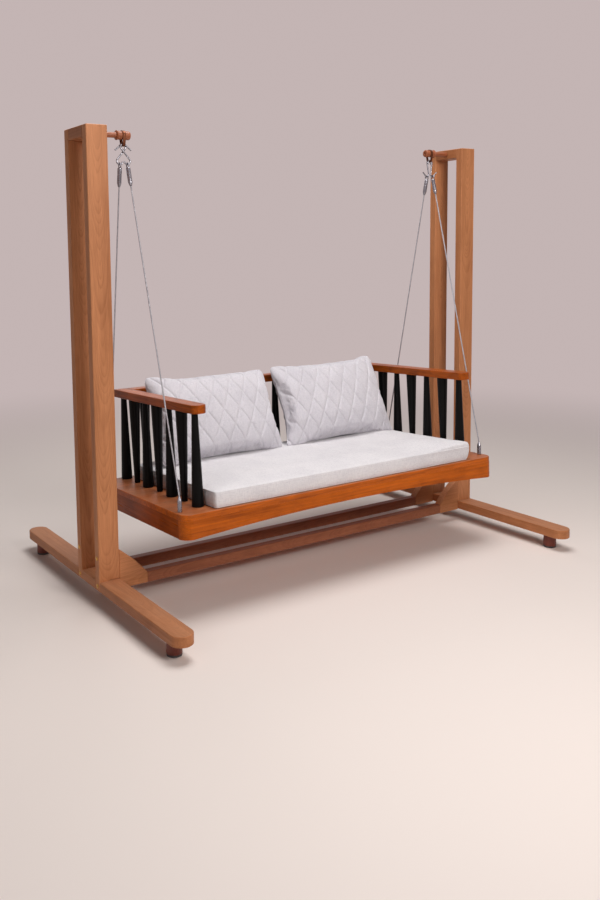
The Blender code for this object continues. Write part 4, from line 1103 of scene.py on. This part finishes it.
def quilt_lines(skin, place, seed):
    """The rows of quilting on both faces of a seated pillow, as lines on its cloth."""
    back = place.inverted()
    lines = []

    def cast(x, z, face, aim):
        return skin.ray_cast(place @ Vector((x, face * 0.25, z)), aim)[:2]

    for face in (-1, 1):
        aim = place.to_3x3() @ Vector((0.0, -face, 0.0))
        for lean in (1.0, -1.0):
            for row in range(-7, 8):
                line = []
                for step in range(-50, 51):
                    z = COVER_HEIGHT / 2 * step / 50
                    x = QUILT_WIDTH * (row - lean * z / QUILT_HEIGHT)
                    hit, normal = cast(x, z, face, aim)
                    if hit:
                        hit, normal = cast(x - QUILT_WANDER * wrinkle(back @ hit, 0.2, seed), z, face, aim)
                    if hit and abs(normal.dot(aim)) > 0.3:
                        line.append(hit)
                    elif line:
                        lines.append(line)
                        line = []
                lines.append(line)
    return [line for line in lines if len(line) > 3]


def pillow_rim(skin, place):
    """A closed line round a seated pillow where its two faces are sewn together."""
    rim = []
    for step in range(220):
        angle = 2 * math.pi * step / 220
        far = Vector((COVER_WIDTH * math.cos(angle), 0.0, COVER_HEIGHT * math.sin(angle)))
        hit = skin.ray_cast(place @ far, place.to_3x3() @ -far.normalized())[0]
        if hit:
            rim.append(hit)
    return rim


def sew_back_pillows(cushion, welts, stitches):
    """Two filled and quilted pillows, resting on the cushion as it was filled."""
    lowered = cushion.data.copy()
    lowered.transform(SWING.inverted())
    surface = surface_of(lowered)

    def cushion_top(point):
        hit = surface.ray_cast(Vector((point.x, point.y, 0.0)), Vector((0.0, 0.0, -1.0)))[0]
        return hit.z if hit else CUSHION_BASE

    for name, side in SIDES.items():
        seed = 11.0 + 5.0 * side
        pillow = piece_from(f"{name}_filled_pillow", pillow_cover(), PILLOW_CLOTH)
        swollen(pillow, 0.005, 4.0, 0.022)
        pull_corners(pillow, CORNER_PULLS[name])
        quilt(pillow, seed)
        place = seat_pillow(pillow, side, cushion_top)
        skin = surface_of(pillow.data)
        rows = line_mesh(f"{name} quilting lines", quilt_lines(skin, place, seed), False)
        rim = pillow_rim(skin, place)
        for point in rim:
            point.z = max(point.z, cushion_top(point) + 0.0024)
        edge = line_mesh(f"{name} rim line", [rim], True)
        welt = grown(f"{name}_pillow_welt", welts, PILLOW_CLOTH, edge, Radius=PILLOW_WELT, Step=WELT_STEP)
        thread = grown(f"{name}_pillow_quilting", stitches, THREAD, rows, **SEWING)
        finish_soft(pillow, (welt, thread), f"{name}_back_pillow")


# Studio

def place_camera():
    ahead = Vector((-math.sin(YAW) * math.cos(PITCH), math.cos(YAW) * math.cos(PITCH), math.sin(PITCH)))
    right = ahead.cross(Vector((0.0, 0.0, 1.0))).normalized()
    up = right.cross(ahead)
    level_right = math.cos(ROLL) * right + math.sin(ROLL) * up
    level_up = math.cos(ROLL) * up - math.sin(ROLL) * right
    lens = bpy.data.cameras.new("studio camera")
    lens.sensor_fit = "VERTICAL"
    lens.sensor_height = SENSOR_HEIGHT
    lens.lens = FOCAL * SENSOR_HEIGHT / IMAGE_HEIGHT
    lens.shift_x = (IMAGE_WIDTH / 2 - CENTRE_ACROSS) / IMAGE_HEIGHT
    lens.shift_y = (CENTRE_DOWN - IMAGE_HEIGHT / 2) / IMAGE_HEIGHT
    lens.clip_end = 60.0
    camera = put_in("studio camera", lens)
    turn = Matrix((level_right, level_up, -ahead)).transposed().to_4x4()
    camera.matrix_world = Matrix.Translation(CAMERA_PLACE) @ turn
    bpy.context.scene.camera = camera


def lamp(name, place, target, size, power, colour):
    light = bpy.data.lights.new(name, "AREA")
    light.shape = "DISK"
    light.size = size
    light.energy = power
    light.color = colour
    item = put_in(name, light)
    item.location = place
    item.rotation_euler = (Vector(target) - Vector(place)).to_track_quat("-Z", "Y").to_euler()


def seen_rays(tree):
    """How much of a ray is the camera's own, or comes to it by way of a shine or a clear body."""
    path = add(tree, "ShaderNodeLightPath").outputs
    seen = sum_up(tree, "MAXIMUM", path["Is Camera Ray"], path["Is Glossy Ray"])
    return sum_up(tree, "MAXIMUM", seen, path["Is Transmission Ray"])


def light_studio():
    lamp("key light", (-0.3, -3.5, 2.5), (-0.2, 0.0, 0.9), 1.4, 74.0, (1.0, 0.96, 0.92))
    lamp("side light", (-4.4, -2.4, 2.2), (-0.8, 0.0, 1.0), 1.4, 16.0, (1.0, 0.96, 0.95))
    lamp("top light", (0.1, -0.3, 4.6), (0.0, 0.0, 0.4), 2.6, 130.0, (1.0, 0.98, 0.97))
    lamp("back light", (1.2, 4.2, 3.2), (0.0, 0.0, 0.8), 1.8, 26.0, (1.0, 0.97, 0.95))
    world = bpy.data.worlds.new("studio")
    bpy.context.scene.world = world
    world.use_nodes = True
    tree = world.node_tree
    sky = tree.nodes["Background"].inputs
    seen = seen_rays(tree)
    feed(tree, sky["Color"], blend_colours(tree, seen, (0.93, 0.90, 0.90, 1.0), BACKDROP))
    feed(tree, sky["Strength"], remap(tree, seen, 0.0, 1.0, 0.10, 1.0))
    bpy.context.scene.view_settings.view_transform = "Standard"


def lay_floor():
    """A pale round floor whose far reaches run into the backdrop."""
    bm = bmesh.new()
    bmesh.ops.create_circle(bm, cap_ends=True, radius=14.0, segments=96)
    mesh = bpy.data.meshes.new("studio floor")
    bm.to_mesh(mesh)
    bm.free()
    material = bpy.data.materials.new("studio floor")
    material.use_nodes = True
    tree = material.node_tree
    shader = tree.nodes["Principled BSDF"]
    shader.inputs["Base Color"].default_value = (0.80, 0.72, 0.68, 1.0)
    shader.inputs["Roughness"].default_value = 0.8
    glow = add(tree, "ShaderNodeEmission", {"Color": BACKDROP})
    spot = add(tree, "ShaderNodeTexCoord").outputs["Object"]
    reach = add(tree, "ShaderNodeVectorMath", {0: spot}, operation="LENGTH").outputs["Value"]
    far = add(tree, "ShaderNodeMapRange", {0: reach, 1: 1.6, 2: 5.5}, interpolation_type="SMOOTHSTEP").outputs[0]
    share = sum_up(tree, "MULTIPLY", seen_rays(tree), far)
    both = add(tree, "ShaderNodeMixShader", {0: share, 1: shader.outputs[0], 2: glow.outputs[0]})
    feed(tree, tree.nodes["Material Output"].inputs["Surface"], both.outputs[0])
    mesh.materials.append(material)
    put_in("studio_floor", mesh)


place_camera()
light_studio()
lay_floor()
dress_stand()
turn_pegs()
turn_floor_pads()
fit_bolts()
bend_straps()
bend_hooks()
lay_ropes()
turn_anchors()
dress_seat()
turn_spindles()
plane_back_rail()
WELTS, STITCHES = welt_tree(), stitch_tree()
seat_cushion = sew_seat_cushion(WELTS, STITCHES)
sew_back_pillows(seat_cushion, WELTS, STITCHES)
